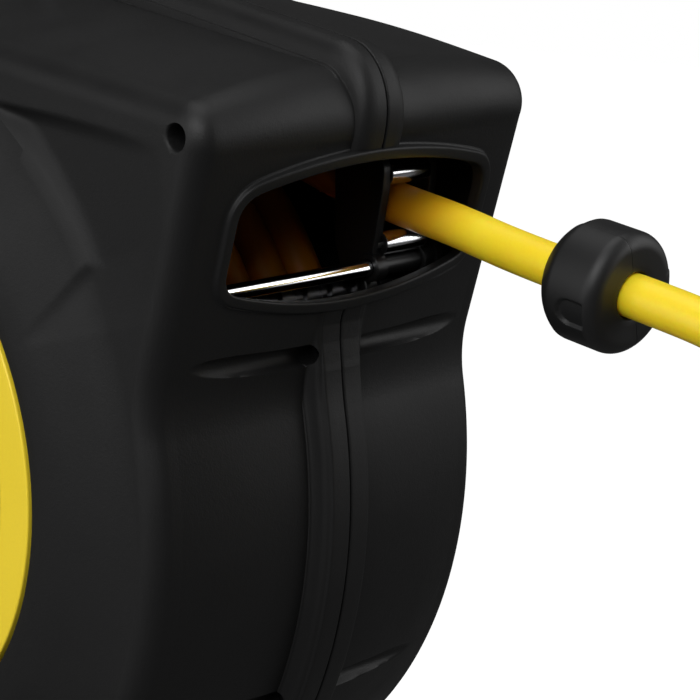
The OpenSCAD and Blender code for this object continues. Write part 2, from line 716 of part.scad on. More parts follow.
housing_r = 19;
module swivel_housing() color(brass) in_casing() difference() {
    y_cyl(housing_r, port_y - 17, port_y + 17);
    y_cyl(axle_r + fit, 0, 60);
    y_cyl(axle_r + 1.6, port_y - 5, port_y + 5);
    for (s = [-1, 1]) y_cyl(axle_r + 2.6, port_y + s * 10 - 1.5, port_y + s * 10 + 1.5);
    translate([0, port_y, 0]) cylinder(r = pipe_r + fit, h = 60);
}
module swivel_seals() color(black) in_casing() for (s = [-1, 1])
    y_tube(axle_r + 2.55, axle_r + 0.06, port_y + s * 10 - 1.45, port_y + s * 10 + 1.45);

module hose_pipe() color(brass) in_casing() translate([0, port_y, 0]) difference() {
    union() {
        translate([0, 0, 14]) cylinder(r = pipe_r, h = core_r - 14);
        translate([0, 0, housing_r]) cylinder(r = 10, h = 8, $fn = 6);
        translate([0, 0, core_in_r - 6.5]) cylinder(r = 9.5, h = 5.5, $fn = 6);
    }
    cylinder(r = pipe_r - 2, h = 200);
}

// =====================================================================================
// Gears from the drum to the reversing screw
// =====================================================================================

pressure = 20;
backlash = 0.12;         // taken off each flank
drum_teeth = 21;
idler_teeth = 94;
screw_teeth = 16;
gear_y0 = drum_half_w + flange_t + 2.5;
gear_y1 = gear_y0 + 5;

function pitch_r(n) = gear_m * n / 2;
function inv(a) = tan(a) * 180 / PI - a;
function flank(n, r) = let (rb = pitch_r(n) * cos(pressure))
    90 / n + inv(pressure) - (r > rb ? inv(acos(rb / r)) : 0) - backlash / pitch_r(n) * 180 / PI;
module gear_outline(n, phase) {
    radii = [pitch_r(n) - 1.25 * gear_m, pitch_r(n) - 0.4 * gear_m, pitch_r(n) + 0.2 * gear_m,
        pitch_r(n) + 0.92 * gear_m];
    polygon([for (i = [0 : n - 1]) let (a = phase + i * 360 / n) each concat(
        [for (r = radii) r * unit(a - flank(n, r))],
        [for (k = [3 : -1 : 0]) radii[k] * unit(a + flank(n, radii[k]))])]);
}

screw_at = [154, 68];
rod_at = [164.6, 77.3];
// the idler sits off the line between its neighbours, at the gears' own centre distances
drum_idler = pitch_r(drum_teeth) + pitch_r(idler_teeth);
idler_screw = pitch_r(idler_teeth) + pitch_r(screw_teeth);
along = (pow(drum_idler, 2) - pow(idler_screw, 2) + pow(norm(screw_at), 2)) / (2 * norm(screw_at));
screw_bearing = atan2(screw_at[1], screw_at[0]);
idler_at = along * unit(screw_bearing) + sqrt(pow(drum_idler, 2) - along * along) * unit(screw_bearing + 90);
to_idler = atan2(idler_at[1], idler_at[0]);
to_screw = atan2(screw_at[1] - idler_at[1], screw_at[0] - idler_at[0]);
// the phase that puts a gap of the next gear on a tooth of the last
function meshed(phase, line, n1, n2) = line + 180 - (phase - line) * n1 / n2 + 180 / n2;
idler_phase = meshed(0, to_idler, drum_teeth, idler_teeth);
screw_phase = meshed(idler_phase, to_screw, idler_teeth, screw_teeth);

module drum_gear() color(dark_grey) in_casing() difference() {
    union() {
        xz_plate(gear_y0 - 1.5, gear_y1) gear_outline(drum_teeth, 0);
        y_cyl(30, ratchet_y0, gear_y0 - 0.5);
    }
    y_cyl(axle_r + 0.4, 0, 100);
    y_cyl(hub_r + 0.2, 0, hub_end + 0.1);
}

stud_r = 6;
idler_bush_r = 8.5;
module idler_gear() color("#8d8672") in_casing() at(idler_at) difference() {
    union() {
        xz_plate(gear_y0, gear_y1) difference() {
            gear_outline(idler_teeth, idler_phase);
            circle(r = pitch_r(idler_teeth) - 6);
        }
        y_cyl(pitch_r(idler_teeth) - 5, gear_y0 + 1, gear_y1 - 1);
        y_cyl(13, gear_y0, gear_y1);
    }
    y_cyl(idler_bush_r + 0.01, 0, 100);
    each_bearing([0 : 60 : 300], 39) y_cyl(14, 0, 100);
}
module idler_bush() color(bronze) in_casing() at(idler_at) y_tube(idler_bush_r, stud_r + fit, gear_y0, gear_y1);
module idler_stud() color(steel) in_casing() at(idler_at) {
    y_cyl(stud_r, gear_y0 - 1, ledge_y + bearing_t + right_extra);
    y_cyl(stud_r + 2.2, gear_y0 - 1.6, gear_y0 - 0.35);
}

journal_r = 4;
screw_half = drum_half_w + 0.8;
bracket_y0 = screw_half + 0.5;
bracket_y1 = bracket_y0 + 3;
module screw_gear() color("#8d8672") in_casing() at(screw_at) difference() {
    xz_plate(gear_y0, gear_y1) gear_outline(screw_teeth, screw_phase);
    y_cyl(journal_r + 0.01, 0, 100);
}
module traverse_screw() color(black) in_casing() at(screw_at) {
    y_cyl(screw_r, -screw_half, screw_half);
    y_cyl(journal_r, -bracket_y1 - 1, gear_y1 + 0.8);
}

// =====================================================================================
// Guide: brackets, rod, carriage, rollers
// =====================================================================================

post_r = 3.5;
guide_posts = [[150, 112], [152, 46]];
post_end = 73.4;
screw_bush_r = 6.5;

module guide_post_seats() for (p = guide_posts) at(p) y_cyl(1.9, post_end + $extra - 3, 100, $fn = 8);

module guide_bracket() difference() {
    union() {
        xz_plate(bracket_y0, bracket_y1) polygon([guide_posts[0] + [-5, 4], guide_posts[0] + [5, 4],
            rod_at + [6, 2], screw_at + [6, -9], guide_posts[1] + [4, -4], guide_posts[1] + [-4, -4],
            screw_at + [-9, 0]]);
        at(screw_at) y_cyl(9, bracket_y0, bracket_y1);
        at(rod_at) y_cyl(6, bracket_y0, bracket_y1);
        for (p = guide_posts) at(p) {
            y_cyl(5, bracket_y0, bracket_y1);
            y_cyl(post_r, bracket_y0, post_end + $extra);
        }
    }
    at(screw_at) y_cyl(screw_bush_r + 0.01, 0, 100);
    at(rod_at) y_cyl(rod_r + fit, 0, bracket_y1 - 1);
    for (p = guide_posts) at(p) y_cyl(1.5, bracket_y1 + 2, 100);
}
module left_guide_bracket() color(dark_grey) in_casing() on_right(false) guide_bracket();
module right_guide_bracket() color(dark_grey) in_casing() guide_bracket($extra = right_extra);

module screw_bearings() color(bronze) in_casing() at(screw_at) for (right = [false, true]) on_right(right)
    y_tube(screw_bush_r, journal_r + fit, bracket_y0 - 0.2, bracket_y1);

module guide_rod() color(chrome) in_casing() at(rod_at) y_cyl(rod_r, -bracket_y1 + 1.2, bracket_y1 - 1.2);

upper_at = [168, 111.8];
lower_at = [165.2, 85.75];
guide_half = 10;         // half the space between the side plates
side_t = 4;
pin_r = 2;
pin_grip = 2;            // how deep a roller's pin sits in each side plate

module carriage() color(black) in_casing() translate([0, guide_y, 0]) difference() {
    union() {
        for (s = [-1, 1]) xz_plate(min(s * guide_half, s * (guide_half + side_t)),
                max(s * guide_half, s * (guide_half + side_t)))
            polygon([[150, 74], [166.5, 74], [171.5, 106], [171.8, 113], [169.5, 117.3], [163, 118.6],
                [151, 117.6], [146.5, 112], [146.5, 84]]);
        at(rod_at) y_cyl(5.4, -guide_half - side_t, guide_half + side_t);
        at(screw_at) y_cyl(10, -guide_half - side_t, guide_half + side_t);
        xz_plate(-guide_half - side_t, guide_half + side_t) polygon([screw_at + [-6, 8], rod_at + [-5, 1.5],
            rod_at + [4, -3.5], screw_at + [8, -6]]);
    }
    at(rod_at) y_cyl(rod_r + fit, -40, 40);
    at(screw_at) y_cyl(screw_r + 0.4, -40, 40);
    for (p = [upper_at, lower_at]) at(p) y_cyl(pin_r + 0.01, -guide_half - pin_grip - 0.1, guide_half + pin_grip + 0.1);
    at(lower_at) y_cyl(roller_r + 0.35, -guide_half, guide_half);
    translate([screw_at[0], 0, screw_at[1] - 14]) cylinder(r = 2.6, h = 10);
}
module groove_follower() color(bronze) in_casing() translate([screw_at[0], guide_y, screw_at[1]]) {
    translate([0, 0, -11.5]) cylinder(r = 2.5, h = 11.5 - screw_r - 0.3);
    translate([0, 0, -12.5]) cylinder(r = 4, h = 1.5);
}
module roller_pins() color(steel) in_casing() translate([0, guide_y, 0]) for (p = [upper_at, lower_at])
    at(p) y_cyl(pin_r, -guide_half - pin_grip, guide_half + pin_grip);
module roller() y_tube(roller_r, pin_r + fit, -guide_half + gap, guide_half - gap);
module upper_roller() color(chrome) in_casing() translate([0, guide_y, 0]) at(upper_at) roller();
module lower_roller() color(chrome) in_casing() translate([0, guide_y, 0]) at(lower_at) roller();

// =====================================================================================
// Pawl
// =====================================================================================

pawl_bearing = 205;
pawl_at = 97 * unit(pawl_bearing);
pawl_stud_r = 3;
pawl_tip = 84.9 * unit(pawl_bearing - 13);
module pawl() color(steel) in_casing() on_right(false) difference() {
    union() {
        at(pawl_at) y_cyl(5.5, ratchet_y0 + 0.8, ratchet_y1 - 0.3);
        xz_plate(ratchet_y0 + 0.8, ratchet_y1 - 0.3) polygon([pawl_tip, pawl_tip + 3.4 * unit(pawl_bearing + 8),
            pawl_at + 5.3 * unit(pawl_bearing - 50), pawl_at + 5.3 * unit(pawl_bearing + 130)]);
    }
    at(pawl_at) y_cyl(pawl_stud_r + fit, 0, 100);
}
module pawl_stud() color(steel) in_casing() on_right(false) at(pawl_at) {
    y_cyl(pawl_stud_r, ratchet_y0 + 0.4, ledge_y + bearing_t);
    y_cyl(pawl_stud_r + 1.4, ratchet_y0 + 0.3, ratchet_y0 + 0.7);
}
module pawl_spring() color(steel) in_casing() on_right(false) at(pawl_at) for (y = [0.2, 1.1])
    y_turned() translate([pawl_stud_r + 1, ratchet_y1 + y + 0.2]) circle(r = 0.4);

// =====================================================================================
// Hose: inner layers, outer winding, free end with its stopper and fitting
// =====================================================================================

hose_r = hose_d / 2;
module hose_inner_layers() color(yellow) in_casing()
    y_tube((wind_r - hose_r) * cos(180 / loop_rings) - gap, core_r + gap, -drum_half_w + gap, drum_half_w - gap);

// the free end leaves the drum along a tangent this far below level
lead_drop = 8.53;
leave_angle = 90 - lead_drop;
wind_turns = 5.69;
loop_rings = 24;
loop_sides = 6;
function wind_point(t) = let (a = leave_angle + 360 * t)
    [wind_r * cos(a), guide_y - hose_pitch * t, wind_r * sin(a)];
leave_dir = [cos(lead_drop), 0, -sin(lead_drop)];
wind_n = round(wind_turns * loop_rings);
last_a = leave_angle + 360 * wind_turns;
wind_path = concat([wind_point(0) + hose_d * leave_dir],
    [for (i = [0 : wind_n]) wind_point(i * wind_turns / wind_n)],
    [wind_point(wind_turns) + hose_d * [-sin(last_a), 0, cos(last_a)]]);

// least clear space between two turns, measured on the winding's own points
turn_gaps = [for (i = [1 : wind_n - loop_rings + 1]) norm(wind_path[i + loop_rings] - wind_path[i]) - hose_d];
echo(least_gap_between_turns = min(turn_gaps));

// a tube along points; up keeps its sides from twisting
function ring_at(path, i, r, sides, up) = let (
    n = len(path) - 1,
    d = path[min(i + 1, n)] - path[max(i - 1, 0)],
    t = d / norm(d), u = cross(t, up) / norm(cross(t, up)), v = cross(u, t))
    [for (k = [0 : sides - 1]) path[i] + r * (cos(360 * k / sides) * u + sin(360 * k / sides) * v)];
module swept_tube(path, r, sides, up = [0, 1, 0]) {
    n = len(path);
    polyhedron(
        points = [for (i = [0 : n - 1]) each ring_at(path, i, r, sides, up)],
        faces = concat(
            [for (i = [0 : n - 2], k = [0 : sides - 1])
                let (a = i * sides + k, b = i * sides + (k + 1) % sides) each
                [[a, b, b + sides], [a, b + sides, a + sides]]],
            [for (k = [1 : sides - 2]) [0, k + 1, k]],
            [for (k = [1 : sides - 2]) let (a = (n - 1) * sides) [a, a + k, a + k + 1]]),
        convexity = 8);
}

module hose_winding() color(yellow) in_casing() swept_tube(wind_path, hose_r, loop_sides);

// the free hose from the drum, through the guide and the stopper, and down: points of [x, z] from the drum's axis
lead_points = [[110, 107.9], [150, 101.8], [170, 98.8], [194, 94.9], [220, 89.8], [242, 86.1],
    [264, 82.8], [286, 79.5], [306, 76], [334, 69], [360, 56], [379, 36], [390, 11], [395, -16],
    [396, -50], [396, -100], [396, -150]];
lead_path = concat([for (d = [1, 3]) wind_point(0) + d * hose_d * leave_dir],
    [for (p = lead_points) [p[0], guide_y, p[1]]]);
module hose_lead() color(yellow) in_casing() swept_tube(lead_path, hose_r, 12);

stopper_at = [262.2, 83.1];
stopper_round = 7;
// the stopper's section: [radius, distance along the hose], its flat face forwards
module stopper_section() polygon(concat([[hose_r + 0.05, -stopper_len / 2]],
    [for (a = [-80 : 20 : 0]) [stopper_d / 2 - 11, -stopper_len / 2 + 11] + [11 * cos(a), 11 * sin(a)]],
    [for (a = [0 : 22.5 : 90]) [stopper_d / 2 - stopper_round, stopper_len / 2 - stopper_round]
        + stopper_round * unit(a)],
    [[hose_r + 0.05, stopper_len / 2]]));
module on_stopper() translate([stopper_at[0], guide_y, stopper_at[1]]) rotate([0, lead_drop, 0]) children();

stopper_screw_z = 15;
module stopper_half(right) on_right(right) difference() {
    rotate([0, 90, 0]) rotate_extrude() stopper_section();
    translate([-50, -100, -50]) cube([100, 100, 100]);
    for (z = [-stopper_screw_z, stopper_screw_z]) translate([0, 0, z]) {
        y_cyl(1.6, -1, right ? 30 : 10.5);
        if (right) y_cyl(3.6, 9, 30);
    }
}
module stopper_left() color(black) in_casing() on_stopper() stopper_half(false);
module stopper_right() color(black) in_casing() on_stopper() stopper_half(true);
module stopper_screws() color(steel) in_casing() on_stopper() for (z = [-stopper_screw_z, stopper_screw_z])
    translate([0, 0, z]) {
        y_cyl(1.5, -8.5, 9);
        y_cyl(3, 9, 11);
    }

hose_end = [396, -150];
restrictor_len = 55;
ferrule_r = 10.2;
module on_hose_end() translate([hose_end[0], guide_y, hose_end[1]]) mirror([0, 0, 1]) children();
module bend_restrictor() color(black) in_casing() on_hose_end() rotate_extrude()
    polygon(concat([[hose_r + 0.05, -restrictor_len]],
        [for (i = [0 : 6]) each let (z = -restrictor_len + i * 7, r = mix(9.2, 12, i / 6)) [[r, z], [r, z + 4],
            [r - 0.7, z + 4.6], [r - 0.7, z + 6.4]]],
        [[12.5, -restrictor_len + 50], [12.5, -2], [hose_r + 0.05, -2]]));
module hose_ferrule() color(brass) in_casing() on_hose_end() difference() {
    translate([0, 0, -2]) cylinder(r = ferrule_r, h = 20);
    translate([0, 0, -3]) cylinder(r = hose_r + 0.05, h = 3);
    cylinder(r = 5.5, h = 40);
}
module male_fitting() color(brass) in_casing() on_hose_end() difference() {
    union() {
        cylinder(r = 5.4, h = 30);
        translate([0, 0, 18]) cylinder(r = 11.5, h = 9, $fn = 6);
        translate([0, 0, 27]) cylinder(r = thread_r, h = 14);
    }
    translate([0, 0, -1]) cylinder(r = 3.8, h = 60);
}

left_shell();
right_shell();
casing_screws();
carry_handle();
handle_bolts();
left_bearing_plate();
right_bearing_plate();
plate_screws();
left_side_disc();
right_side_disc();
hinge_block();
hinge_bolts();
pivot_bushes();
wall_bracket();
pivot_rod();
pivot_clips();
axle();
axle_rings();
spring_arbor();
power_spring();
inlet_elbow();
drum_core();
left_flange();
right_flange();
flange_screws();
drum_bushes();
spring_cassette();
cassette_cover();
swivel_housing();
swivel_seals();
hose_pipe();
drum_gear();
idler_gear();
idler_bush();
idler_stud();
screw_gear();
traverse_screw();
left_guide_bracket();
right_guide_bracket();
screw_bearings();
guide_rod();
carriage();
groove_follower();
roller_pins();
upper_roller();
lower_roller();
pawl();
pawl_stud();
pawl_spring();
hose_inner_layers();
hose_winding();
hose_lead();
stopper_left();
stopper_right();
stopper_screws();
bend_restrictor();
hose_ferrule();
male_fitting();
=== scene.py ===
"""The looks of the spring-rewind hose reel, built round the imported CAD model.

Shapes are worked out in millimetres from the drum's axis, and row() takes them to the
CAD's frame in metres. Sizes are part.scad's where a comment doesn't say otherwise.
"""
import math

import bmesh
import bpy
import numpy as np
from mathutils import Matrix, Vector


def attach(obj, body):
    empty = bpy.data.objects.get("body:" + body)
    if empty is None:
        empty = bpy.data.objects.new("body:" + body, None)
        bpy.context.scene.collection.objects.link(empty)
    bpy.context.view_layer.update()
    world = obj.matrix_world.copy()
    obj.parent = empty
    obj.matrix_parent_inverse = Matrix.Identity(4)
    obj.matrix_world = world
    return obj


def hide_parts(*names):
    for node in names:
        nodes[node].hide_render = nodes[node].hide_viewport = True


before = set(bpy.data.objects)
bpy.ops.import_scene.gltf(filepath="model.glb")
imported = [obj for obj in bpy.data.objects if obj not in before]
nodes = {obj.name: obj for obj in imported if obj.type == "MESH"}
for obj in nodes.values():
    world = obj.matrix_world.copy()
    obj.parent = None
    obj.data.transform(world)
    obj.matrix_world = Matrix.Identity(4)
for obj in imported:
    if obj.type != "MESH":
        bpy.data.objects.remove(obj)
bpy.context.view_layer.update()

DRUM_X = 320.0


def row(points):
    """Points in mm from the drum's axis, in the row frame in metres."""
    return (np.asarray(points, float) + np.array([DRUM_X, 0.0, 0.0])) / 1000.0


def unit(deg):
    """The cosine and sine of an angle in degrees."""
    a = np.radians(deg)
    return np.array([np.cos(a), np.sin(a)])


def ease(t):
    """A smooth step from 0 to 1."""
    t = np.clip(t, 0, 1)
    return t * t * (3 - 2 * t)


def mix(a, b, t):
    """From a to b, by the share t."""
    return a + (b - a) * t


def normed(v):
    """Rows of v at length 1."""
    return v / np.linalg.norm(v, axis=1)[:, None]


def placed(name, data):
    """A new object in the scene."""
    o = bpy.data.objects.new(name, data)
    bpy.context.scene.collection.objects.link(o)
    return o


# ------------------------------------------------------------------ camera

CAMERA_AT = (1.0947, -0.57305, 0.2395)
CAMERA_TURN, CAMERA_TILT = 45.854, 12.684
SENSOR, LENS = 36, 123.43

(turn_cos, turn_sin), (tilt_cos, tilt_sin) = unit(CAMERA_TURN), unit(CAMERA_TILT)
cam_right = Vector((turn_cos, turn_sin, 0))
cam_back = Vector((turn_sin * tilt_cos, -turn_cos * tilt_cos, tilt_sin))
cam_up = cam_back.cross(cam_right)
camera = placed("camera", bpy.data.cameras.new("camera"))
camera.matrix_world = Matrix([*zip(cam_right, cam_up, cam_back, CAMERA_AT), (0, 0, 0, 1)])
camera.data.sensor_width, camera.data.lens = SENSOR, LENS
camera.data.clip_start, camera.data.clip_end = 0.05, 30
bpy.context.scene.camera = camera
bpy.context.scene.view_settings.view_transform = "Standard"

# ------------------------------------------------------------------ materials


class Nodes:
    """A short way to write a node tree: a new material's, or one that is given."""

    def __init__(self, name, tree=None):
        if tree is None:
            self.material = bpy.data.materials.new(name)
            self.material.use_nodes = True
            tree = self.material.node_tree
        self.tree = tree
        self.tree.nodes.clear()
        self.coords = self.add("ShaderNodeTexCoord").outputs["Object"]

    def add(self, kind, inputs=None, **props):
        node = self.tree.nodes.new(kind)
        for k, v in props.items():
            setattr(node, k, v)
        for k, v in (inputs or {}).items():
            socket = node.inputs[k]
            if isinstance(v, bpy.types.NodeSocket):
                self.tree.links.new(v, socket)
            else:
                socket.default_value = (*v[:3], 1) if socket.type == "RGBA" else v
        return node

    def noise(self, scale, detail=2.0, rough=0.5, stretch=None):
        at = self.coords
        if stretch:
            at = self.add("ShaderNodeMapping", {"Vector": at, "Scale": stretch}).outputs[0]
        return self.add(
            "ShaderNodeTexNoise",
            {"Vector": at, "Scale": scale, "Detail": detail, "Roughness": rough},
        ).outputs["Fac"]

    def ramp(self, value, low, low_colour, high, high_colour):
        node = self.add("ShaderNodeValToRGB", {"Fac": value})
        stops = ((low, low_colour), (high, high_colour))
        for e, (at, colour) in zip(node.color_ramp.elements, stops):
            e.position, e.color = at, (*colour, 1)
        return node.outputs["Color"]

    def range(self, value, lo, hi, from_lo=0.0, from_hi=1.0):
        ends = {"From Min": from_lo, "From Max": from_hi, "To Min": lo, "To Max": hi}
        return self.add("ShaderNodeMapRange", {"Value": value, **ends}).outputs[0]

    def math(self, op, a, b=0.0):
        return self.add("ShaderNodeMath", {0: a, 1: b}, operation=op).outputs[0]

    def sum(self, a, share_a, b, share_b):
        """Two values added, each by its share."""
        a = a if share_a == 1 else self.math("MULTIPLY", a, share_a)
        return self.math("ADD", a, self.math("MULTIPLY", b, share_b))

    def bump(self, height, distance):
        inputs = {"Height": height, "Distance": distance, "Strength": 1.0}
        return self.add("ShaderNodeBump", inputs).outputs[0]

    def blend(self, factor, a, b):
        # sockets 6 and 7 are the node's two colours, and output 2 is theirs
        return self.add("ShaderNodeMix", {0: factor, 6: a, 7: b}, data_type="RGBA").outputs[2]

    def show(self, shader, output="ShaderNodeOutputMaterial"):
        self.add(output, {"Surface": shader.outputs[0]})

    def surface(self, **inputs):
        inputs = {k.replace("_", " "): v for k, v in inputs.items()}
        self.show(self.add("ShaderNodeBsdfPrincipled", inputs))
        return self.material


def srgb(*levels):
    return tuple(((c / 255 + 0.055) / 1.055) ** 2.4 if c > 10 else c / 255 / 12.92 for c in levels)


def scaled(colour, share, more=0.0):
    return tuple(min(c * share + more, 1) for c in colour)


def edge_wear(n):
    """1 on worn convex edges, 0 elsewhere, broken up by noise."""
    point = n.add("ShaderNodeNewGeometry").outputs["Pointiness"]
    worn = n.range(point, 0.0, 1.0, 0.52, 0.6)
    return n.math("MULTIPLY", worn, n.range(n.noise(90, 4), 0.0, 1.0, 0.35, 0.7))


def plastic(name, colour, rough=0.42, grain=0.00003, size=1500, mottle=0.18, wear=0.25,
            specular=0.5):
    """Moulded plastic: a fine eroded grain, uneven gloss, and slightly rubbed edges."""
    n = Nodes(name)
    big, fine = n.noise(14, 3), n.noise(size, 3, 0.6)
    dark, light = scaled(colour, 1 - mottle), scaled(colour, 1 + mottle)
    base = n.ramp(n.sum(big, 0.6, fine, 0.4), 0.3, dark, 0.7, light)
    base = n.blend(n.math("MULTIPLY", edge_wear(n), wear), base, scaled(colour, 1.6, 0.006))
    gloss = n.sum(n.noise(45, 4), 1, fine, 0.35)
    roughness = n.range(gloss, rough - 0.05, rough + 0.06, 0.4, 0.95)
    pits = n.sum(fine, 1, n.noise(size * 0.35, 2), 0.7)
    return n.surface(Base_Color=base, Roughness=roughness, Normal=n.bump(pits, grain),
                     Specular_IOR_Level=specular)


def metal(name, colour, rough, tarnish=0.12):
    """Bare metal: turned or drawn marks, uneven polish and a little tarnish."""
    n = Nodes(name)
    base = n.ramp(n.noise(66, 4), 0.35, scaled(colour, 1 - tarnish), 0.65, colour)
    marks = n.noise(1320, 3, 0.6, (1, 8, 1))
    polish = n.sum(n.noise(220, 3), 1, marks, 0.5)
    roughness = n.range(polish, rough * 0.75, rough * 1.3, 0.5, 1.0)
    return n.surface(Base_Color=base, Metallic=1.0, Roughness=roughness,
                     Normal=n.bump(marks, 0.000008))


def painted(name, colour, rough=0.38):
    """Powder coat: an orange-peel skin over a slightly mottled colour."""
    n = Nodes(name)
    peel = n.noise(420, 2, 0.4)
    base = n.ramp(n.noise(30, 4), 0.3, scaled(colour, 0.85), 0.7, colour)
    roughness = n.range(peel, rough - 0.05, rough + 0.08, 0.3, 0.7)
    return n.surface(Base_Color=base, Roughness=roughness, Normal=n.bump(peel, 0.00006),
                     Coat_Weight=0.15, Coat_Roughness=0.3)


def hose_skin(name, colour, shade, inside_shade_colour):
    """Extruded hose: smooth, faintly drawn along its length, with light scuffs and painted shade
    inside the casing.
    """
    n = Nodes(name)
    fine = n.noise(900, 3, 0.6)
    base = n.ramp(n.sum(n.noise(20, 3), 0.7, fine, 0.3), 0.3, shade, 0.65, colour)
    scuff = n.range(n.noise(60, 5, 0.7, (1, 4, 1)), 0.0, 1.0, 0.62, 0.75)
    base = n.blend(n.math("MULTIPLY", scuff, 0.25), base, scaled(colour, 0.72))
    # handled and sunned outside the casing, deeper in colour inside it
    # painted shade: inside the casing, where the turns lie in shade, the hose is given a deeper
    # orange
    along = n.add("ShaderNodeSeparateXYZ", {0: n.coords}).outputs[0]
    base = n.blend(n.range(along, 1.0, 0.0, 0.486, 0.53), base, inside_shade_colour)
    rough = n.range(n.noise(140, 4), 0.36, 0.5, 0.3, 0.7)
    return n.surface(Base_Color=base, Roughness=rough, Normal=n.bump(fine, 0.000015),
                     Subsurface_Weight=0.35, Subsurface_Radius=(0.009, 0.0045, 0.0008),
                     Subsurface_Scale=1.0)


BLACK, DEEP_BLACK = (0.008, 0.008, 0.0082), (0.005, 0.005, 0.0052)
MATERIALS = {
    "casing": plastic("casing", (0.0062, 0.0062, 0.0063), 0.5, grain=0.00007, mottle=0.14,
                      specular=0.27),
    "handle": plastic("handle", BLACK, 0.5, specular=0.36),
    "inner_plastic": plastic("inner_plastic", DEEP_BLACK, 0.5, specular=0.3),
    "cover": plastic("cover", srgb(250, 219, 52), 0.36, grain=0.000012, size=900, mottle=0.05,
                     wear=0.1),
    "bracket": painted("bracket", (0.018, 0.018, 0.019)),
    "block": plastic("block", BLACK, 0.48, specular=0.36),
    "steel": metal("steel", (0.62, 0.63, 0.65), 0.3),
    "screw": metal("screw", (0.5, 0.51, 0.53), 0.32),
    "black_steel": metal("black_steel", (0.06, 0.06, 0.065), 0.38),
    "chrome": metal("chrome", (0.86, 0.87, 0.89), 0.1, tarnish=0.05),
    "brass": metal("brass", (0.72, 0.52, 0.22), 0.27),
    "bronze": metal("bronze", (0.5, 0.3, 0.14), 0.35),
    "gear": plastic("gear", (0.32, 0.27, 0.18), 0.42, mottle=0.1),
    "seal": plastic("seal", (0.01, 0.01, 0.01), 0.6),
    "stopper": plastic("stopper", (0.0075, 0.0075, 0.0077), 0.46, grain=0.00002, mottle=0.25,
                       wear=0.5, specular=0.36),
    # the hose's last colour is painted shade, for the hose inside the casing
    "hose": hose_skin("hose", srgb(249, 222, 42), srgb(243, 208, 28), srgb(214, 128, 9)),
    "carriage": plastic("carriage", DEEP_BLACK, 0.42, specular=0.35),
}

for name, node in nodes.items():
    given = [s.material.name.split(".")[0] for s in node.material_slots if s.material]
    made = MATERIALS.get(given[0] if given else None, MATERIALS["inner_plastic"])
    if name == "casing_screws":
        # they sit at the bottom of deep pockets and are blackened
        made = MATERIALS["black_steel"]
    if not node.data.materials:
        node.data.materials.append(made)
    for i in range(len(node.data.materials)):
        node.data.materials[i] = made

# ------------------------------------------------------------------ building pieces


def band(rows, n, first=0, closed=False):
    """Faces between rows of n points that each run round, and from the last row to the first."""
    starts = [first + row_number * n for row_number in range(rows)]
    pairs = list(zip(starts, starts[1:] + starts[:1] if closed else starts[1:]))
    return [(a + k, a + (k + 1) % n, b + (k + 1) % n, b + k) for a, b in pairs for k in range(n)]


def capped(rows, n, first=0):
    """An open band with its first and last row closed."""
    last = first + (rows - 1) * n
    ends = [tuple(range(first, first + n))[::-1], tuple(range(last, last + n))]
    return band(rows, n, first) + ends


def new_mesh(name, points, faces):
    mesh = bpy.data.meshes.new(name)
    mesh.from_pydata(row(points).tolist(), [], faces)
    return mesh


def fixed(mesh, merge=0.0):
    """The mesh with its faces turned outwards, and points closer than merge made one."""
    b = bmesh.new()
    b.from_mesh(mesh)
    if merge:
        bmesh.ops.remove_doubles(b, verts=b.verts, dist=merge)
    bmesh.ops.recalc_face_normals(b, faces=b.faces)
    b.to_mesh(mesh)
    b.free()
    return mesh


def finished(o, slot, body, replaces):
    """Gives an object its material and slot, the body it rides on and the nodes it replaces."""
    o.data.materials.clear()
    o.data.materials.append(MATERIALS[slot])
    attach(o, body)
    if replaces:
        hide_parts(*replaces)
    return o


def dress(name, mesh, slot, body, replaces=(), sharp=32):
    """A piece from a mesh, smooth but for the edges that bend by more than sharp degrees."""
    b = bmesh.new()
    b.from_mesh(mesh)
    bmesh.ops.recalc_face_normals(b, faces=b.faces)
    for f in b.faces:
        f.smooth = True
    for e in b.edges:
        e.smooth = len(e.link_faces) == 2 and e.calc_face_angle(0) < math.radians(sharp)
    b.to_mesh(mesh)
    b.free()
    return finished(placed(name, mesh), slot, body, replaces)


def piece(name, points, faces, slot, body, replaces=(), sharp=32):
    """A piece from points in mm and faces as lists of their numbers."""
    mesh = new_mesh(name, points, faces)
    mesh.validate()
    return dress(name, mesh, slot, body, replaces, sharp)


def catmull(points, step):
    """A smooth line through unevenly spaced points, cut to even steps, and its length."""
    p = np.asarray(points, float)
    ext = np.vstack([2 * p[0] - p[1], p, 2 * p[-1] - p[-2]])
    out = []
    t = np.linspace(0, 1, 40, endpoint=False)[:, None]
    for i in range(len(p) - 1):
        a, b, c, d = ext[i : i + 4]
        ab, bc, cd = (np.linalg.norm(q) ** 0.5 for q in (b - a, c - b, d - c))
        m1 = c - b + bc * ((b - a) / ab - (c - a) / (ab + bc))
        m2 = c - b + bc * ((d - c) / cd - (d - b) / (bc + cd))
        out.append((2 * t**3 - 3 * t**2 + 1) * b + (t**3 - 2 * t**2 + t) * m1
                   + (-2 * t**3 + 3 * t**2) * c + (t**3 - t**2) * m2)
    dense = np.vstack([*out, p[-1:]])
    lengths = np.concatenate([[0], np.cumsum(np.linalg.norm(np.diff(dense, axis=0), axis=1))])
    at = np.linspace(0, lengths[-1], max(int(round(lengths[-1] / step)), 2) + 1)
    return np.stack([np.interp(at, lengths, dense[:, k]) for k in range(3)], 1), lengths[-1]


def curve_piece(name, points, radius, slot, body, replaces):
    """A round tube along points in mm, as a curve of one open spline."""
    data = bpy.data.curves.new(name, "CURVE")
    data.dimensions = "3D"
    spline = data.splines.new("POLY")
    at = row(points)
    spline.points.add(len(at) - 1)
    spline.points.foreach_set("co", np.hstack([at, np.ones((len(at), 1))]).ravel())
    spline.use_smooth = True
    data.bevel_depth, data.bevel_resolution = radius / 1000, 8
    data.use_fill_caps = True
    return finished(placed(name, data), slot, body, replaces)


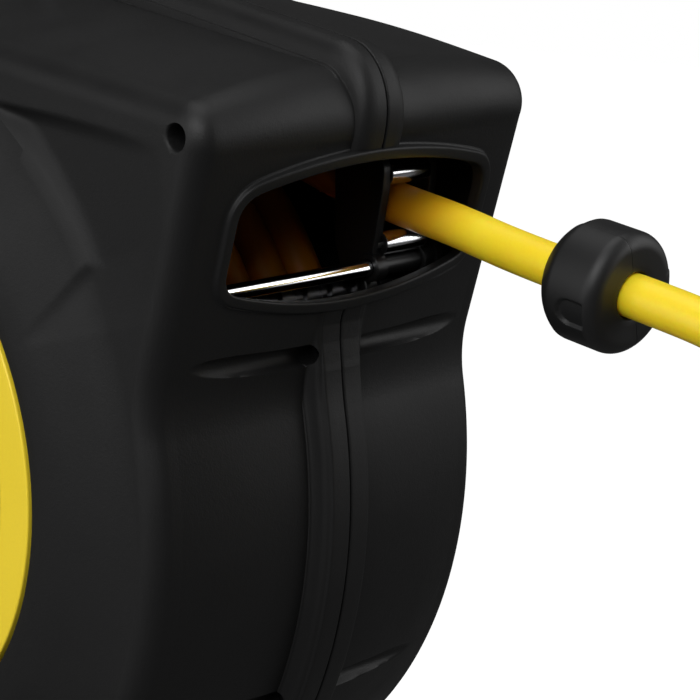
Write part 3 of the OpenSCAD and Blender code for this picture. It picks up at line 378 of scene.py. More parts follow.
def tube(points, radius, sides, first=0):
    """Points and faces of a closed tube along points, its own points numbered from first."""
    t = normed(np.gradient(points, axis=0))
    u = normed(np.cross(t, (0.0, 1.0, 0.0)))
    v = np.cross(u, t)
    a = np.linspace(0, 2 * np.pi, sides, endpoint=False)[None, :, None]
    ring = points[:, None] + radius * (np.cos(a) * u[:, None] + np.sin(a) * v[:, None])
    return ring.reshape(-1, 3), capped(len(points), sides, first)


# ------------------------------------------------------------------ the hose

HOSE_D, HOSE_R, PITCH, GUIDE_Y = 15.5, 7.75, 16.0, 43.0
LEAD_DROP = 8.53

# the outer layer lies fuller than the CAD model's, and the free end leaves from it
TOP_LAYER, TOP_LEAVE, TOP_PITCH, TOP_TURNS = 136.3, 75.2, 18.4, 5.0
FIRST_TURN, FIRST_SHIFT = 0.9, 4.6
# the layers below: radius and hand
LOWER_LAYERS = ((123.0, 1), (107.4, -1), (91.9, 1))
LOWER_TURNS, LOWER_Y, LOWER_LEAVE, LOWER_STEP = 6.05, 48.6, 90 - LEAD_DROP, 37

leave_cos, leave_sin = unit(TOP_LEAVE)
LEAVE_AT = np.array([TOP_LAYER * leave_cos, GUIDE_Y, TOP_LAYER * leave_sin])
LEAVE_DIR = np.array([leave_sin, 0, -leave_cos])


def wound(t):
    """Points of the outer layer, t turns from where the free end leaves it."""
    c, s = unit(TOP_LEAVE + 360 * t)
    later = FIRST_SHIFT + TOP_PITCH * (t - FIRST_TURN)
    y = GUIDE_Y - np.where(t < FIRST_TURN, FIRST_SHIFT * t / FIRST_TURN, later)
    return np.stack([TOP_LAYER * c, y, TOP_LAYER * s], -1)


lead_points = np.array([LEAVE_AT + d * LEAVE_DIR for d in (14, 45, 80, 110)] + [
    [x, GUIDE_Y, z] for x, z in (
        (168, 99.0), (194, 94.9), (220, 89.8), (242, 86.1), (264, 82.8), (286, 79.5), (306, 76),
        (334, 69), (360, 56), (379, 36), (390, 11), (395, -16), (396, -50), (396, -100),
        (396, -150))])
lead_path, lead_length = catmull(lead_points, 3.0)
hose_lead = curve_piece("hose_free_end", lead_path, HOSE_R, "hose", "guide", ("hose_lead",))

winding = np.vstack([[LEAVE_AT + d * LEAVE_DIR for d in (14, 10, 5)],
                     wound(np.linspace(0, TOP_TURNS, int(TOP_TURNS * 120) + 1))])
piece("hose_outer_layer", *tube(winding, HOSE_R, 24), "hose", "drum", ("hose_winding",), sharp=60)

inner_pts, inner_faces = np.empty((0, 3)), []
t = np.linspace(0, LOWER_TURNS, 6 * 96)
for layer, (radius, hand) in enumerate(LOWER_LAYERS):
    c, s = unit(LOWER_LEAVE + LOWER_STEP * layer + 360 * t)
    line = np.stack([radius * c, hand * (LOWER_Y - PITCH * t), radius * s], -1)
    pts, faces = tube(line, HOSE_R, 16, len(inner_pts))
    inner_pts, inner_faces = np.vstack([inner_pts, pts]), inner_faces + faces
piece("hose_lower_layers", inner_pts, inner_faces, "hose", "drum", ("hose_inner_layers",),
      sharp=60)

# ------------------------------------------------------------------ the casing

# the drum part's radius, the left half's width, the wall and the long edge's radius
CASE_R, HALF_W, WALL, EDGE = 169.5, 76.8, 3.0, 10.0
RIGHT_EXTRA = 6.0
RIDGE_W = 10.0
# the outline: where the top and the front face, the front's distance, and the two bends
TOP_A, FRONT_A = 83.0, -17.6
FRONT_D, HEAD_R, WAIST_R = 145.3, 14.0, 47.0
# the side cover's face and seat, and the ledge behind it
DISC_Y, RIM_DROP, SEAT_R, LEDGE_W, LEDGE_T, LEDGE_Y = 84.4, 0.4, 108.2, 5.2, 5.0, 77.2
SEAT_EDGE = 0.8
# the flank: a nearly level band, then a slope; FLANK_R is where the drum's slope ends
LEVEL_R, LEVEL_W, LEVEL_FALL, SLOPE_W, SLOPE_FALL, FLANK_R = 108.0, 13.5, 0.9, 38.0, 6.3, 159.6
# how far the surface bulges between the long edges, and how far the ridge stands out
CROWN_TOP, CROWN_DRUM, CROWN_HEAD = 10.0, 7.0, 3.0
RIDGE_TOP, RIDGE_DRUM, RIDGE_CORNER, RIDGE_FOOT, RIDGE_FACE = 23.4, 15.5, 15.4, 12.6, 7.2
# the right half's top edge stands higher than the left's
LIFT_BACK, LIFT_FRONT, LIFT_BOW, LIFT_BOW_END = 6.0, 2.5, 1.6, 0.64

front_n, front_up = unit(FRONT_A), unit(FRONT_A + 90)
waist_d = FRONT_D + WAIST_R
waist_c = waist_d * front_n + math.sqrt((CASE_R + WAIST_R) ** 2 - waist_d**2) * front_up
WAIST_A = math.degrees(math.atan2(waist_c[1], waist_c[0]))
span_cos, span_sin = unit(TOP_A - FRONT_A)
head_d = FRONT_D - HEAD_R
head_c = head_d * front_n + (CASE_R - HEAD_R - head_d * span_cos) / span_sin * front_up
front_low, front_high = waist_c - WAIST_R * front_n, head_c + HEAD_R * front_n
top_front, top_back = head_c + HEAD_R * unit(TOP_A), CASE_R * unit(TOP_A)
front_len = np.linalg.norm(front_high - front_low)

# screw pockets: angle and distance from the axis
POCKETS = [(17, 183.0)] + [(a, 176.0) for a in (-27, -71, -115, -148, 148)]
POCKET_R, POCKET_START, POCKET_END, POCKET_FLOOR = 4.2, 4.0, 62.0, 13.6
# the deep hole in the head
HOLE_AT, HOLE_R, HOLE_Y = (182.4, 136.4), 4.5, 20.0
# steps between stations, in degrees or mm: beside a pocket, near one, and elsewhere
DRUM_STEPS, WAIST_STEPS, FRONT_STEPS = (0.15, 0.35, 0.9), (0.3, 1.2), (0.3, 0.7, 1.4)
CORNER_STATIONS, TOP_STATIONS = 26, 70


def pocket_gap(p):
    """How far a point lies from the nearest pocket's axis."""
    return min(np.linalg.norm(p - r * unit(a)) for a, r in POCKETS)


def front_point(s):
    """A point of the front line, its crown and its ridge, at a distance up from its foot."""
    t = s / front_len
    crown = mix(CROWN_DRUM, CROWN_HEAD, t)
    low = float(np.interp(s, [0, 2.67, 9.37, 15.6], [RIDGE_FOOT, 11.4, 8.7, 6.9]))
    ridge = mix(max(low, crown), RIDGE_FACE, float(ease((s - 26) / 30)))
    return mix(front_low, front_high, t), crown, ridge


def profile():
    """Stations round the casing: point, outward normal, crown, ridge height, right half's lift.

    They stand closer together beside the screw pockets.
    """
    out = []
    a, stop = TOP_A, 360 + WAIST_A
    while a < stop - 0.1:
        n, t = unit(a), (a - TOP_A) / (stop - TOP_A)
        out.append((CASE_R * n, n, mix(CROWN_TOP, CROWN_DRUM, ease(8 * t)),
                    mix(RIDGE_TOP, RIDGE_DRUM, ease(8 * t)), LIFT_BACK * (1 - ease(4 * t))))
        near = pocket_gap((CASE_R + 4.5) * n)
        a += DRUM_STEPS[int(near >= 6) + int(near >= 9)]
    t = 0.0
    while t < 1:
        n = unit(mix(WAIST_A, FRONT_A, t))
        at = waist_c - WAIST_R * n
        out.append((at, n, CROWN_DRUM, mix(RIDGE_DRUM, RIDGE_FOOT, t * t), 0.0))
        step = WAIST_STEPS[int(pocket_gap(at + 6 * n) >= 8)]
        t += step / (math.radians(WAIST_A - FRONT_A) * WAIST_R)
    s = 0.0
    while s < front_len - 0.3:
        at, crown, ridge = front_point(s)
        out.append((at, front_n, crown, ridge, 0.0))
        beside = pocket_gap(at + 6 * front_n) < 8
        s += FRONT_STEPS[0 if beside else 1 + int(s >= 24)]
    for t in np.linspace(0, 1, CORNER_STATIONS, endpoint=False):
        n = unit(mix(FRONT_A, TOP_A, t))
        out.append((head_c + HEAD_R * n, n, mix(CROWN_HEAD, CROWN_DRUM, t),
                    mix(RIDGE_FACE, RIDGE_CORNER, ease(t)), LIFT_FRONT * t))
    for t in np.linspace(0, 1, TOP_STATIONS, endpoint=False):
        bow = LIFT_BOW * math.sin(math.pi * min(t / LIFT_BOW_END, 1.0))
        out.append((mix(top_front, top_back, t), unit(TOP_A), mix(CROWN_DRUM, CROWN_TOP, t),
                    mix(RIDGE_CORNER, RIDGE_TOP, t), mix(LIFT_FRONT, LIFT_BACK, t) + bow))
    return [np.array(x, float) for x in zip(*out)]


P, N, C, R, LIFT = profile()
COUNT = len(P)
# 1 on the head above the window and on the top, 0 round the drum and below the window
above_window = ease(((P - front_low) @ front_up - 30) / 20)
on_top = ease((P[:, 0] + 60) / 75) * (P[:, 1] > 0)
HEAD = np.where(P[:, 0] > 15, above_window * (P[:, 1] > 60), on_top)


def ease_in(t):
    """Straight, and levelled out over its last part."""
    return np.where(t < 0.85, t / 0.925, 1 - (1 - t) ** 2 / (2 * 0.15 * 0.925))


def side_y(r):
    """The flank's height at a distance from the axis."""
    level = LEVEL_FALL * np.clip((r - LEVEL_R) / LEVEL_W, 0, 1)
    slope = SLOPE_FALL * ease_in(np.clip((r - LEVEL_R - LEVEL_W) / SLOPE_W, 0, 1))
    return DISC_Y - RIM_DROP - level - slope


# the head's flank lies between the drum's slope, two creases that meet, and a lip along its top
CREASE_AT, CREASE_END = np.array([133.6, 88.9]), np.array([160.7, 95.9])
CREASE_BACK = np.array([0.723, -0.690])
along_crease = CREASE_END - CREASE_AT
CREASE_LOW = np.array([along_crease[1], -along_crease[0]]) / np.linalg.norm(along_crease)
LIP_X, LIP_HALF, LIP_Z, LIP_FALL, LIP_BULGE = 129, 43, 136.0885, 0.0772, 1.0
SUNK, SUNK_X, SUNK_FADE = 4.5, 100, 75
BACK_W, LIP_W, LOW_FADE, FLANK_X = 9, 6, 25, 60


def sunk(gap, width):
    """0 before a crease, then a rounded step to 1 at width past it."""
    return np.where(gap <= 0, 0, 1 - (1 - np.clip(gap / width, 0, 1)) ** 2)


def flank(xz):
    """How far the head's flank is sunk below the side plane."""
    x, z = xz.T
    depth = SUNK * np.clip(1 - (x - SUNK_X) / SUNK_FADE, 0, 1.3)
    back = np.maximum(np.hypot(x, z) - FLANK_R, (xz - CREASE_AT) @ CREASE_BACK)
    bulge = LIP_BULGE * np.clip(1 - ((x - LIP_X) / LIP_HALF) ** 2, 0, 1)
    lip = LIP_Z - LIP_FALL * (x - LIP_X) + bulge
    low = 1 - np.clip((xz - CREASE_AT) @ CREASE_LOW / LOW_FADE, 0, 1)
    return depth * sunk(back, BACK_W) * sunk(lip - z, LIP_W) * low * (x > FLANK_X) * (z > 0)


def pocket_floor():
    """The surface's distance out along each station's normal, where a screw pocket cuts it."""
    floor = np.full(COUNT, 99.0)
    for a, r in POCKETS:
        w = r * unit(a) - P
        along = (w * N).sum(1)
        side = np.abs(w[:, 0] * N[:, 1] - w[:, 1] * N[:, 0])
        round_part = along - np.sqrt(np.maximum(POCKET_R**2 - side**2, 0))
        hit = (side < POCKET_R) & (np.abs(along) < 30)
        floor = np.where(hit, np.minimum(floor, round_part), floor)
    return floor


FLOOR = pocket_floor()


def crown_at(y, pockets=True):
    """How far the surface stands out from the stations at y from the middle."""
    t = max(y - RIDGE_W, 0) / (HALF_W - EDGE - RIDGE_W)
    d = C * (1 - t * t)
    if y > POCKET_END or not pockets:
        return d
    soft = 0.35
    h = np.clip(0.5 + 0.5 * (d - FLOOR) / soft, 0, 1)
    return mix(d, FLOOR, h) - soft * h * (1 - h)


def at_y(xz, y):
    """Points from their X and Z, at a height of Y."""
    return np.stack([xz[:, 0], np.broadcast_to(y, len(xz)).astype(float), xz[:, 1]], 1)


def station_points(d, y):
    return at_y(P + np.broadcast_to(d, COUNT)[:, None] * N, y)


def side_points(xz, drop=0.0):
    return at_y(xz, side_y(np.hypot(*xz.T)) - flank(xz) - drop)


bearing = normed(P)
edge_q = P - EDGE * N
mid = np.minimum(FLANK_R, np.linalg.norm(edge_q, axis=1) - 0.4)


def spread(points, extra):
    """The right half is wider: its points lie further out, from just outside the ridge."""
    p = np.array(points, float)
    p[:, 1] += extra * np.clip((p[:, 1] - RIDGE_W - 2) / 40, 0, 1)
    return p


# the ridge's wall and shoulder: distance from the middle, and down from the ridge's top
RIDGE_SECTION = [
    (12.6, 8.0), (12.3, 7.9), (12.0, 7.55), (11.7, 7.0), (11.4, 6.2), (11.15, 5.4), (10.95, 4.6),
    (10.8, 3.95), (10.62, 3.35), (10.4, 2.8), (10.15, 2.35), (9.85, 1.95), (9.55, 1.62),
    (9.3, 1.42), (9.12, 1.18), (9.02, 0.85), (8.92, 0.5), (8.72, 0.22), (8.4, 0.08), (7.9, 0.0)]
HEAD_SECTION = [
    (12.6, 8.0), (12.2, 8.0), (11.8, 8.0), (11.4, 7.98), (11.15, 7.8), (10.98, 7.2), (10.82, 6.4),
    (10.6, 5.5), (10.3, 4.65), (9.95, 3.9), (9.55, 3.2), (9.1, 2.55), (8.6, 1.97), (8.05, 1.47),
    (7.5, 1.06), (6.9, 0.72), (6.3, 0.45), (5.8, 0.27), (5.3, 0.13), (4.9, 0.05)]
RIDGE_TOP_SECTION = [
    (4.6, 0), (2.6, 0), (1.2, 0), (0.8, 0.02), (0.56, 0.14), (0.4, 0.45), (0.36, 1.9), (0.03, 2.0)]
# the surface's lines round the casing, and how much of the right half's lift each one takes
columns, shares = [], []


def column(points, share=0.0):
    columns.append(points)
    shares.append(share)


def long_edge(a, r):
    """A line of the rounded long edge, which starts at the flank's own height."""
    c, s = unit(a)
    ring = station_points(r * s - EDGE, HALF_W - EDGE + r * c)
    ring[:, 1] -= edge_drop * max(0.0, 1 - a / 60) ** 1.5
    column(ring, 1.0)


# the opening's edge, rounded, then the flank out to the rounded long edge
for a in (0, 30, 60):
    c, s = unit(a)
    column(side_points(bearing * (SEAT_R + SEAT_EDGE * (1 - c)), SEAT_EDGE * (1 - s)))
for t in np.linspace(0, 1, 11):
    column(side_points(bearing * mix(SEAT_R + SEAT_EDGE, mid, t)[:, None]))
for t in np.linspace(0, 1, 31)[1:]:
    column(side_points(mix(bearing * mid[:, None], edge_q, t)), ease(t))
edge_drop = HALF_W - columns[-1][:, 1]
for a in np.linspace(0, 76, 12)[1:]:
    long_edge(a, EDGE)
for y in np.concatenate([np.linspace(66, 62.1, 5), np.linspace(61.8, 12.9, 43)]):
    column(station_points(crown_at(y), y), 1.0)
# the ridge: its wall, a rounded shoulder with a faint step inside it, and the rounded top
wall = np.clip((R - crown_at(RIDGE_SECTION[0][0], False)) / RIDGE_SECTION[0][1], 0, 1)
for (y, drop), (head_y, head_drop) in zip(RIDGE_SECTION, HEAD_SECTION):
    top = np.maximum(R - mix(drop, head_drop, HEAD) * wall, crown_at(y, False))
    column(station_points(top, mix(y, head_y, HEAD)))
for y, d in RIDGE_TOP_SECTION:
    column(station_points(np.maximum(R, C) - d, y))
# back inside: the seam's face, the inner skin, and the ledge that carries the bearing plate
column(station_points(np.minimum(C, FLOOR) - WALL, 0.03))
for y in (12.0, 25.0, 40.0, 55.0):
    column(station_points(crown_at(y) - WALL, y), 1.0)
for a in (76, 50, 25, 0):
    long_edge(a, EDGE - WALL)
for t in (0.75, 0.5, 0.25, 0.0):
    column(side_points(mix(bearing * mid[:, None], edge_q, t), WALL), ease(t))
ledge_r = SEAT_R - LEDGE_W
for r, y in ((ledge_r, LEDGE_Y - LEDGE_T), (ledge_r, LEDGE_Y), (SEAT_R, LEDGE_Y)):
    column(at_y(bearing * r, y))

grid = np.stack(columns, 1)
quads = band(COUNT, len(columns), closed=True)


def round_corner(a, b, c, r, n=10):
    """A bend from a to c round the corner b, starting r away from it."""
    a, b, c = (np.array(q, float) for q in (a, b, c))
    p, q = b + (a - b) * r / np.linalg.norm(a - b), b + (c - b) * r / np.linalg.norm(c - b)
    t = np.linspace(0, 1, n)[:, None]
    return (1 - t) ** 2 * p + 2 * (1 - t) * t * b + t**2 * q


WINDOW_W, WINDOW_LOW, WINDOW_HIGH, WINDOW_BOW = 55.8, 81.7, 114.0, 9.0
WINDOW_R_LOW, WINDOW_R_HIGH = 6.5, 8.0


def window_half():
    """The right half of the window's outline, from low to high in the middle, and its normals."""
    w = WINDOW_W
    y = np.linspace(0, w, 29)
    bow = WINDOW_BOW * (1 - (y / w) ** 2)
    low = np.stack([y, WINDOW_LOW - bow], 1)[y < w - WINDOW_R_LOW]
    high = np.stack([y, WINDOW_HIGH + bow], 1)[y < w - WINDOW_R_HIGH][::-1]
    up = [(w, z) for z in np.linspace(WINDOW_LOW + WINDOW_R_LOW, WINDOW_HIGH - WINDOW_R_HIGH, 12)]
    line = np.vstack([low, round_corner(low[-1], (w, WINDOW_LOW), up[0], WINDOW_R_LOW), up[1:-1],
                      round_corner(up[-1], (w, WINDOW_HIGH), high[0], WINDOW_R_HIGH), high])
    line = line[np.concatenate([[True], np.linalg.norm(np.diff(line, axis=0), axis=1) > 0.2])]
    tangent = np.gradient(line, axis=0)
    tangent[0], tangent[-1] = (1, 0), (-1, 0)
    return line, normed(np.stack([tangent[:, 1], -tangent[:, 0]], 1))


W_LINE, W_NORMAL = window_half()


def solid(rings):
    """A closed mesh over rings of points, capped at both ends, its faces turned outwards."""
    return fixed(new_mesh("solid", np.vstack(rings), capped(len(rings), len(rings[0]))))


ROUND = 48
round_x, round_z = unit(np.arange(ROUND) * 360 / ROUND)


def y_ring(at, r, y):
    return at_y(np.stack([at[0] + r * round_x, at[1] + r * round_z], 1), y)


def turned(at, section, y0=0.0, s=1):
    """A solid turned about a line along Y: section gives heights from y0 on side s, and radii."""
    return solid([y_ring(at, r, y0 + s * y) for y, r in section])


def cut(mesh, cutters):
    """The mesh with the cutters' meshes taken away."""
    holder = placed("cut", mesh)
    tools = [placed("tool", m) for m in cutters]
    for o in tools:
        mod = holder.modifiers.new("cut", "BOOLEAN")
        mod.operation, mod.object, mod.solver = "DIFFERENCE", o, "MANIFOLD"
    bpy.context.view_layer.update()
    graph = bpy.context.evaluated_depsgraph_get()
    done = bpy.data.meshes.new_from_object(holder.evaluated_get(graph))
    for o in [holder, *tools]:
        bpy.data.objects.remove(o)
    return done


def half_casing(extra):
    """Half of the casing with its window, pockets and deep hole; extra is its added width."""
    points = grid.copy()
    if extra:
        out = np.clip((grid[:, :, 1] - RIDGE_W - 6) / 46, 0, 1) * np.array(shares, float)
        points[:, :, ::2] += (LIFT[:, None] * out)[:, :, None] * N[:, None]
    mesh = fixed(new_mesh("half", spread(points.reshape(-1, 3), extra), quads), 1e-7)
    line = np.vstack([W_LINE, [[-4, W_LINE[-1, 1]], [-4, W_LINE[0, 1]]]])
    window = [spread(np.insert(line, 0, x, 1), extra) for x in (100, 260)]
    far = HALF_W + extra
    hole = [(HOLE_Y, HOLE_R), (far - 0.9, HOLE_R), (far - 0.35, HOLE_R + 0.25),
            (far + 0.1, HOLE_R + 0.9), (far + 2, HOLE_R + 3)]
    pocket = [(POCKET_START, POCKET_R - 0.1), (POCKET_FLOOR, POCKET_R - 0.1)]
    pockets = [turned(r * unit(a), pocket) for a, r in POCKETS]
    return cut(mesh, [solid(window), turned(HOLE_AT, hole), *pockets])


right_mesh, left_mesh = half_casing(RIGHT_EXTRA), half_casing(0.0)
left_mesh.transform(Matrix.Diagonal((1, -1, 1, 1)))
dress("casing_right", right_mesh, "casing", "casing", ("right_shell",), sharp=38)
dress("casing_left", left_mesh, "casing", "casing", ("left_shell",), sharp=38)

# ------------------------------------------------------------------ the side covers

COVER_R, COVER_FOOT, COVER_WALL = 106.8, 81.5, 2.5
BAND_R, DISH_R, DISH, DISH_END = 90.6, 88.9, 1.0, 1.6
BOSS_R, INLET_R, MIDDLE_WALL = 27, 24, 4.1
COVER_SCREWS, COVER_SCREW_R, COVER_SCREW_HEAD_R = 96, 1.7, 3.4


def cover(sign, boss, shift):
    """A round cover: a level band, a dished middle and either a boss or the inlet's hole."""
    y = DISC_Y
    low, inner = y - DISH_END, y - MIDDLE_WALL
    rim, level, dish = (COVER_R, y), (BAND_R, y), (DISH_R, y - DISH)
    section = [(COVER_R, COVER_FOOT), *round_corner((COVER_R, COVER_FOOT), rim, level, 0.9, 7)]
    section += [(r, y) for r in (104, 101, 98, 94)]
    section += [*round_corner(rim, level, dish, 0.7, 5),
                *round_corner(level, dish, (60, y - 1.3), 0.7, 5)]
    section += [(r, mix(low, y - DISH, (r - 30) / (DISH_R - 30))) for r in (80, 70, 60, 50, 40)]
    if boss:
        foot, edge = (30, low), (BOSS_R, y - 0.1)
        section += [(34, low), *round_corner((34, low), foot, edge, 1.0, 5),
                    *round_corner(foot, edge, (0, y), 1.2, 5),
                    (20, y - 0.02), (10, y), (1e-4, y), (1e-4, inner), (26, inner)]
    else:
        edge, end = (INLET_R, low), (INLET_R, inner)
        section += [(30, low), *round_corner((30, low), edge, end, 0.8, 5), end]
    inside = COVER_R - COVER_WALL - 0.6
    section += [(inside, y - COVER_WALL), (inside, COVER_FOOT)]
    around = 180
    c, s = unit(np.arange(around) * 360 / around)
    pts = [at_y(np.stack([r * c, r * s], 1), sign * (h + shift)) for r, h in section]
    mesh = fixed(new_mesh("cover", np.vstack(pts), band(len(section), around, closed=True)), 1e-6)
    hole = [(COVER_FOOT - 6, COVER_SCREW_R), (y - 1.1, COVER_SCREW_R),
            (y + 0.6, COVER_SCREW_HEAD_R)]
    at = [COVER_SCREWS * unit(a) for a in (60, 180, 300)]
    return cut(mesh, [turned(q, hole, sign * shift, sign) for q in at])


dress("side_cover_left", cover(-1, True, 0.0), "cover", "casing", ("left_side_disc",), sharp=40)
dress("side_cover_right", cover(1, False, RIGHT_EXTRA), "cover", "casing", ("right_side_disc",),
      sharp=40)

# the deep hole's lining, down to the screw in the head
for s, side, far in ((1, "right", HALF_W + RIGHT_EXTRA), (-1, "left", HALF_W)):
    lining = [(HOLE_Y, HOLE_R + 2.0), (far - 1.6, HOLE_R + 2.0), (far - 1.2, HOLE_R + 0.01),
              (HOLE_Y, HOLE_R + 0.01)]
    rings = [y_ring(HOLE_AT, r, s * y) for y, r in lining]
    piece("head_tube_" + side, np.vstack(rings), band(4, ROUND, closed=True), "casing", "casing")

# ------------------------------------------------------------------ the window's rim


# distance from the window's edge; drop from the band's crest; or height above the face behind it
RIM_SECTION = [
    (-0.06, None, -3.3), (-0.06, 1.0, None), (0.06, 0.6, None), (0.3, 0.27, None),
    (0.7, 0.07, None), (1.2, 0.0, None), (3.0, 0.0, None), (3.5, 0.1, None), (3.85, 0.35, None),
    (4.05, 0.75, None), (4.25, None, 0.75), (4.5, None, 0.35), (4.9, None, 0.12),
    (5.5, None, 0.0), (6.2, None, -0.25), (6.2, None, -1.6), (4.0, None, -3.3)]
RIM_CREST, RIM_BOW_R = 8.2, 300


def face_out(y, s):
    """The front face's distance out, at y from the middle and s up from the front line's foot."""
    fall = (CROWN_DRUM - CROWN_HEAD) / front_len
    crown = np.interp(s, [-10, front_len], [CROWN_DRUM + 10 * fall, CROWN_HEAD])
    return FRONT_D + crown * (1 - (max(y - RIDGE_W, 0) / (HALF_W - EDGE - RIDGE_W)) ** 2)


def rim(side, extra, s):
    """Half of the rim: a band that follows the window's edge and bows forward in the middle."""
    points = []
    for (y, z), (ny, nz) in zip(W_LINE, W_NORMAL):
        crest = FRONT_D + RIM_CREST - RIM_BOW_R + math.sqrt(RIM_BOW_R**2 - y * y)
        for e, below, above in RIM_SECTION:
            yy, zz = y + e * ny, z + e * nz
            x = (crest - front_n[1] * zz) / front_n[0]
            face = face_out(abs(yy), (np.array([x, zz]) - front_low) @ front_up)
            room = min(max(crest - face, 0.4) / 1.4, 1.0)
            if below is None:
                d = face + (above * room if above > 0 else above)
            else:
                d = crest - below * room
            points.append([(d - front_n[1] * zz) / front_n[0], max(yy, 0.03), zz])
    points = spread(points, extra) * [1, s, 1]
    faces = capped(len(W_LINE), len(RIM_SECTION))
    piece("window_rim_" + side, points, faces, "casing", "casing", sharp=40)


rim("right", RIGHT_EXTRA, 1)
rim("left", 0.0, -1)

# ------------------------------------------------------------------ the hose guide's carriage

ROD_AT, SCREW_AT = (164.6, 77.3), (154.0, 68.0)
ROD_BORE, SCREW_BORE = 3.25, 6.4
UPPER_AT, LOWER_AT = (168.0, 111.8), (165.2, 85.75)
PLATE = [
    (150.0, 74.0), (163.6, 74.0), (166.0, 81.0), (168.6, 94.0), (171.2, 106.0), (171.8, 112.5),
    (171.6, 115.2), (170.2, 117.6), (167.4, 118.6), (163.0, 118.6), (152.5, 117.8), (148.4, 115.4),
    (146.5, 111.0), (146.5, 84.0)]
BAR = [(147.2, 84.0), (150.4, 84.0), (150.4, 112.0), (148.4, 114.6), (147.2, 112.0)]
GUIDE_HALF, SIDE_T = 10.0, 4.0


def closed_line(points, step):
    """A closed outline cut to even steps, its corners kept."""
    out = []
    for a, b in zip(points, points[1:] + points[:1]):
        a, b = np.array(a), np.array(b)
        n = max(int(np.linalg.norm(b - a) / step), 1)
        out += [mix(a, b, t) for t in np.linspace(0, 1, n, endpoint=False)]
    return np.array(out)


def inset(line, d):
    """A closed outline drawn in by d."""
    before, after = np.roll(line, 1, 0), np.roll(line, -1, 0)
    tangent = normed(after - before)
    area = np.sum(line[:, 0] * after[:, 1] - after[:, 0] * line[:, 1])
    return line + np.stack([-tangent[:, 1], tangent[:, 0]], 1) * np.sign(area) * d


def slab(line, lo, hi, soft=0.5):
    """A plate between two heights of Y, with softened edges."""
    edge = ((0.0, 1.0), (0.15, 0.45), (0.45, 0.15), (1.0, 0.0))
    layers = [(lo + u * soft, v * soft) for u, v in edge]
    layers += [(hi - u * soft, v * soft) for u, v in edge[::-1]]
    return solid([at_y(inset(line, d), y) for y, d in layers])


def joined(meshes):
    """Several closed meshes as one."""
    b = bmesh.new()
    for m in meshes:
        b.from_mesh(m)
    out = bpy.data.meshes.new("joined")
    b.to_mesh(out)
    b.free()
    return out


def carriage():
    """The guide's frame: two side plates, a bar, and what runs on the rod and the screw."""

    def bored(mesh, at, r):
        return cut(mesh, [turned(at, ((-40, r), (40, r)), GUIDE_Y)])

    g, parts = GUIDE_HALF, []
    outer = g + SIDE_T
    collar = ((g - 0.6, 4.9), (g - 0.3, 5.4), (outer + 0.6, 5.4), (outer + 1.0, 4.9))
    nut = ((g - 2.0, 8.6), (g - 1.6, 9.2), (outer - 0.4, 9.2), (outer, 8.8))
    cap = ((g + 0.2, 4.4), (g - 0.3, 4.4), (g - 0.5, 4.15))
    plate_line = closed_line(PLATE, 1.2)
    for s in (-1, 1):
        plate = slab(plate_line, *sorted((GUIDE_Y + s * g, GUIDE_Y + s * outer)))
        parts.append(bored(plate, ROD_AT, ROD_BORE))
        # the collars that run on the rod, the screw's nut, and the cap on each roller's end
        parts.append(bored(turned(ROD_AT, collar, GUIDE_Y, s), ROD_AT, ROD_BORE))
        parts.append(bored(turned(SCREW_AT, nut, GUIDE_Y, s), SCREW_AT, SCREW_BORE))
        parts += [turned(at, cap, GUIDE_Y, s) for at in (UPPER_AT, LOWER_AT)]
    parts.append(bored(turned(ROD_AT, ((-g, 3.7), (g, 3.7)), GUIDE_Y), ROD_AT, ROD_BORE))
    # the bar behind the rollers that joins the two plates
    parts.append(slab(closed_line(BAR, 1.5), GUIDE_Y - g - 1, GUIDE_Y + g + 1, 0.3))
    return joined(parts)


dress("guide_carriage", carriage(), "carriage", "guide", ("carriage",), sharp=35)

# ------------------------------------------------------------------ the reversing screw


SCREW_R, SCREW_END, GROOVE_D, GROOVE_W, GROOVE_PITCH = 6.0, 57.8, 1.5, 2.1, 12.19
JOURNAL_R, JOURNALS = 4.0, ((-62.3, -SCREW_END), (SCREW_END, 68.3))


def grooved_screw():
    """The screw's thread as one surface: a groove cut right-handed and left-handed, crossing."""
    rows, around = int(2 * SCREW_END / 0.5), 72
    y = np.linspace(-SCREW_END, SCREW_END, rows)
    yy, turns = np.meshgrid(y, np.arange(around) / around, indexing="ij")
    deep = np.zeros_like(yy)
    for hand in (1, -1):
        f = (yy / GROOVE_PITCH - hand * turns) % 1.0
        away = np.minimum(f, 1 - f) * GROOVE_PITCH
        deep = np.maximum(deep, np.clip((GROOVE_W - away) / 0.7, 0, 1))
    rad = SCREW_R - GROOVE_D * deep * np.clip(SCREW_END - 1.8 - np.abs(yy), 0, 1)
    c, s = unit(360 * turns)
    pts = np.stack([SCREW_AT[0] + rad * c, yy, SCREW_AT[1] + rad * s], -1).reshape(-1, 3)
    faces = capped(rows, around)
    # the journals, up to the gear's outer face
    for lo, hi in JOURNALS:
        section = ((lo, -0.4), (lo + 0.4, 0.0), (hi - 0.4, 0.0), (hi, -0.4))
        rings = [y_ring(SCREW_AT, JOURNAL_R + d, y) for y, d in section]
        faces += capped(len(rings), ROUND, len(pts))
        pts = np.vstack([pts, *rings])
    return pts, faces


piece("grooved_screw", *grooved_screw(), "black_steel", "screw", ("traverse_screw",), sharp=40)

# ------------------------------------------------------------------ the hose's stopper

STOP_AT, STOP_R, STOP_LEN = (262.2, GUIDE_Y, 83.1), 21.75, 29.0
STOP_BACK, STOP_FRONT, STOP_TURN = 8.6, 5.6, 17.0
STOP_FLAT_R, STOP_BACK_R = 12.2, 4.5
RECESS_HALF, RECESS_DEEP, RECESS_END, RECESS_Y = 5.5, 1.3, 10.2, 3.6
SEATS, SEAT_HOLE_R, SEAT_FROM, SEAT_TO = (-15, 15), 3.6, 9, 30
drop_cos, drop_sin = unit(LEAD_DROP)


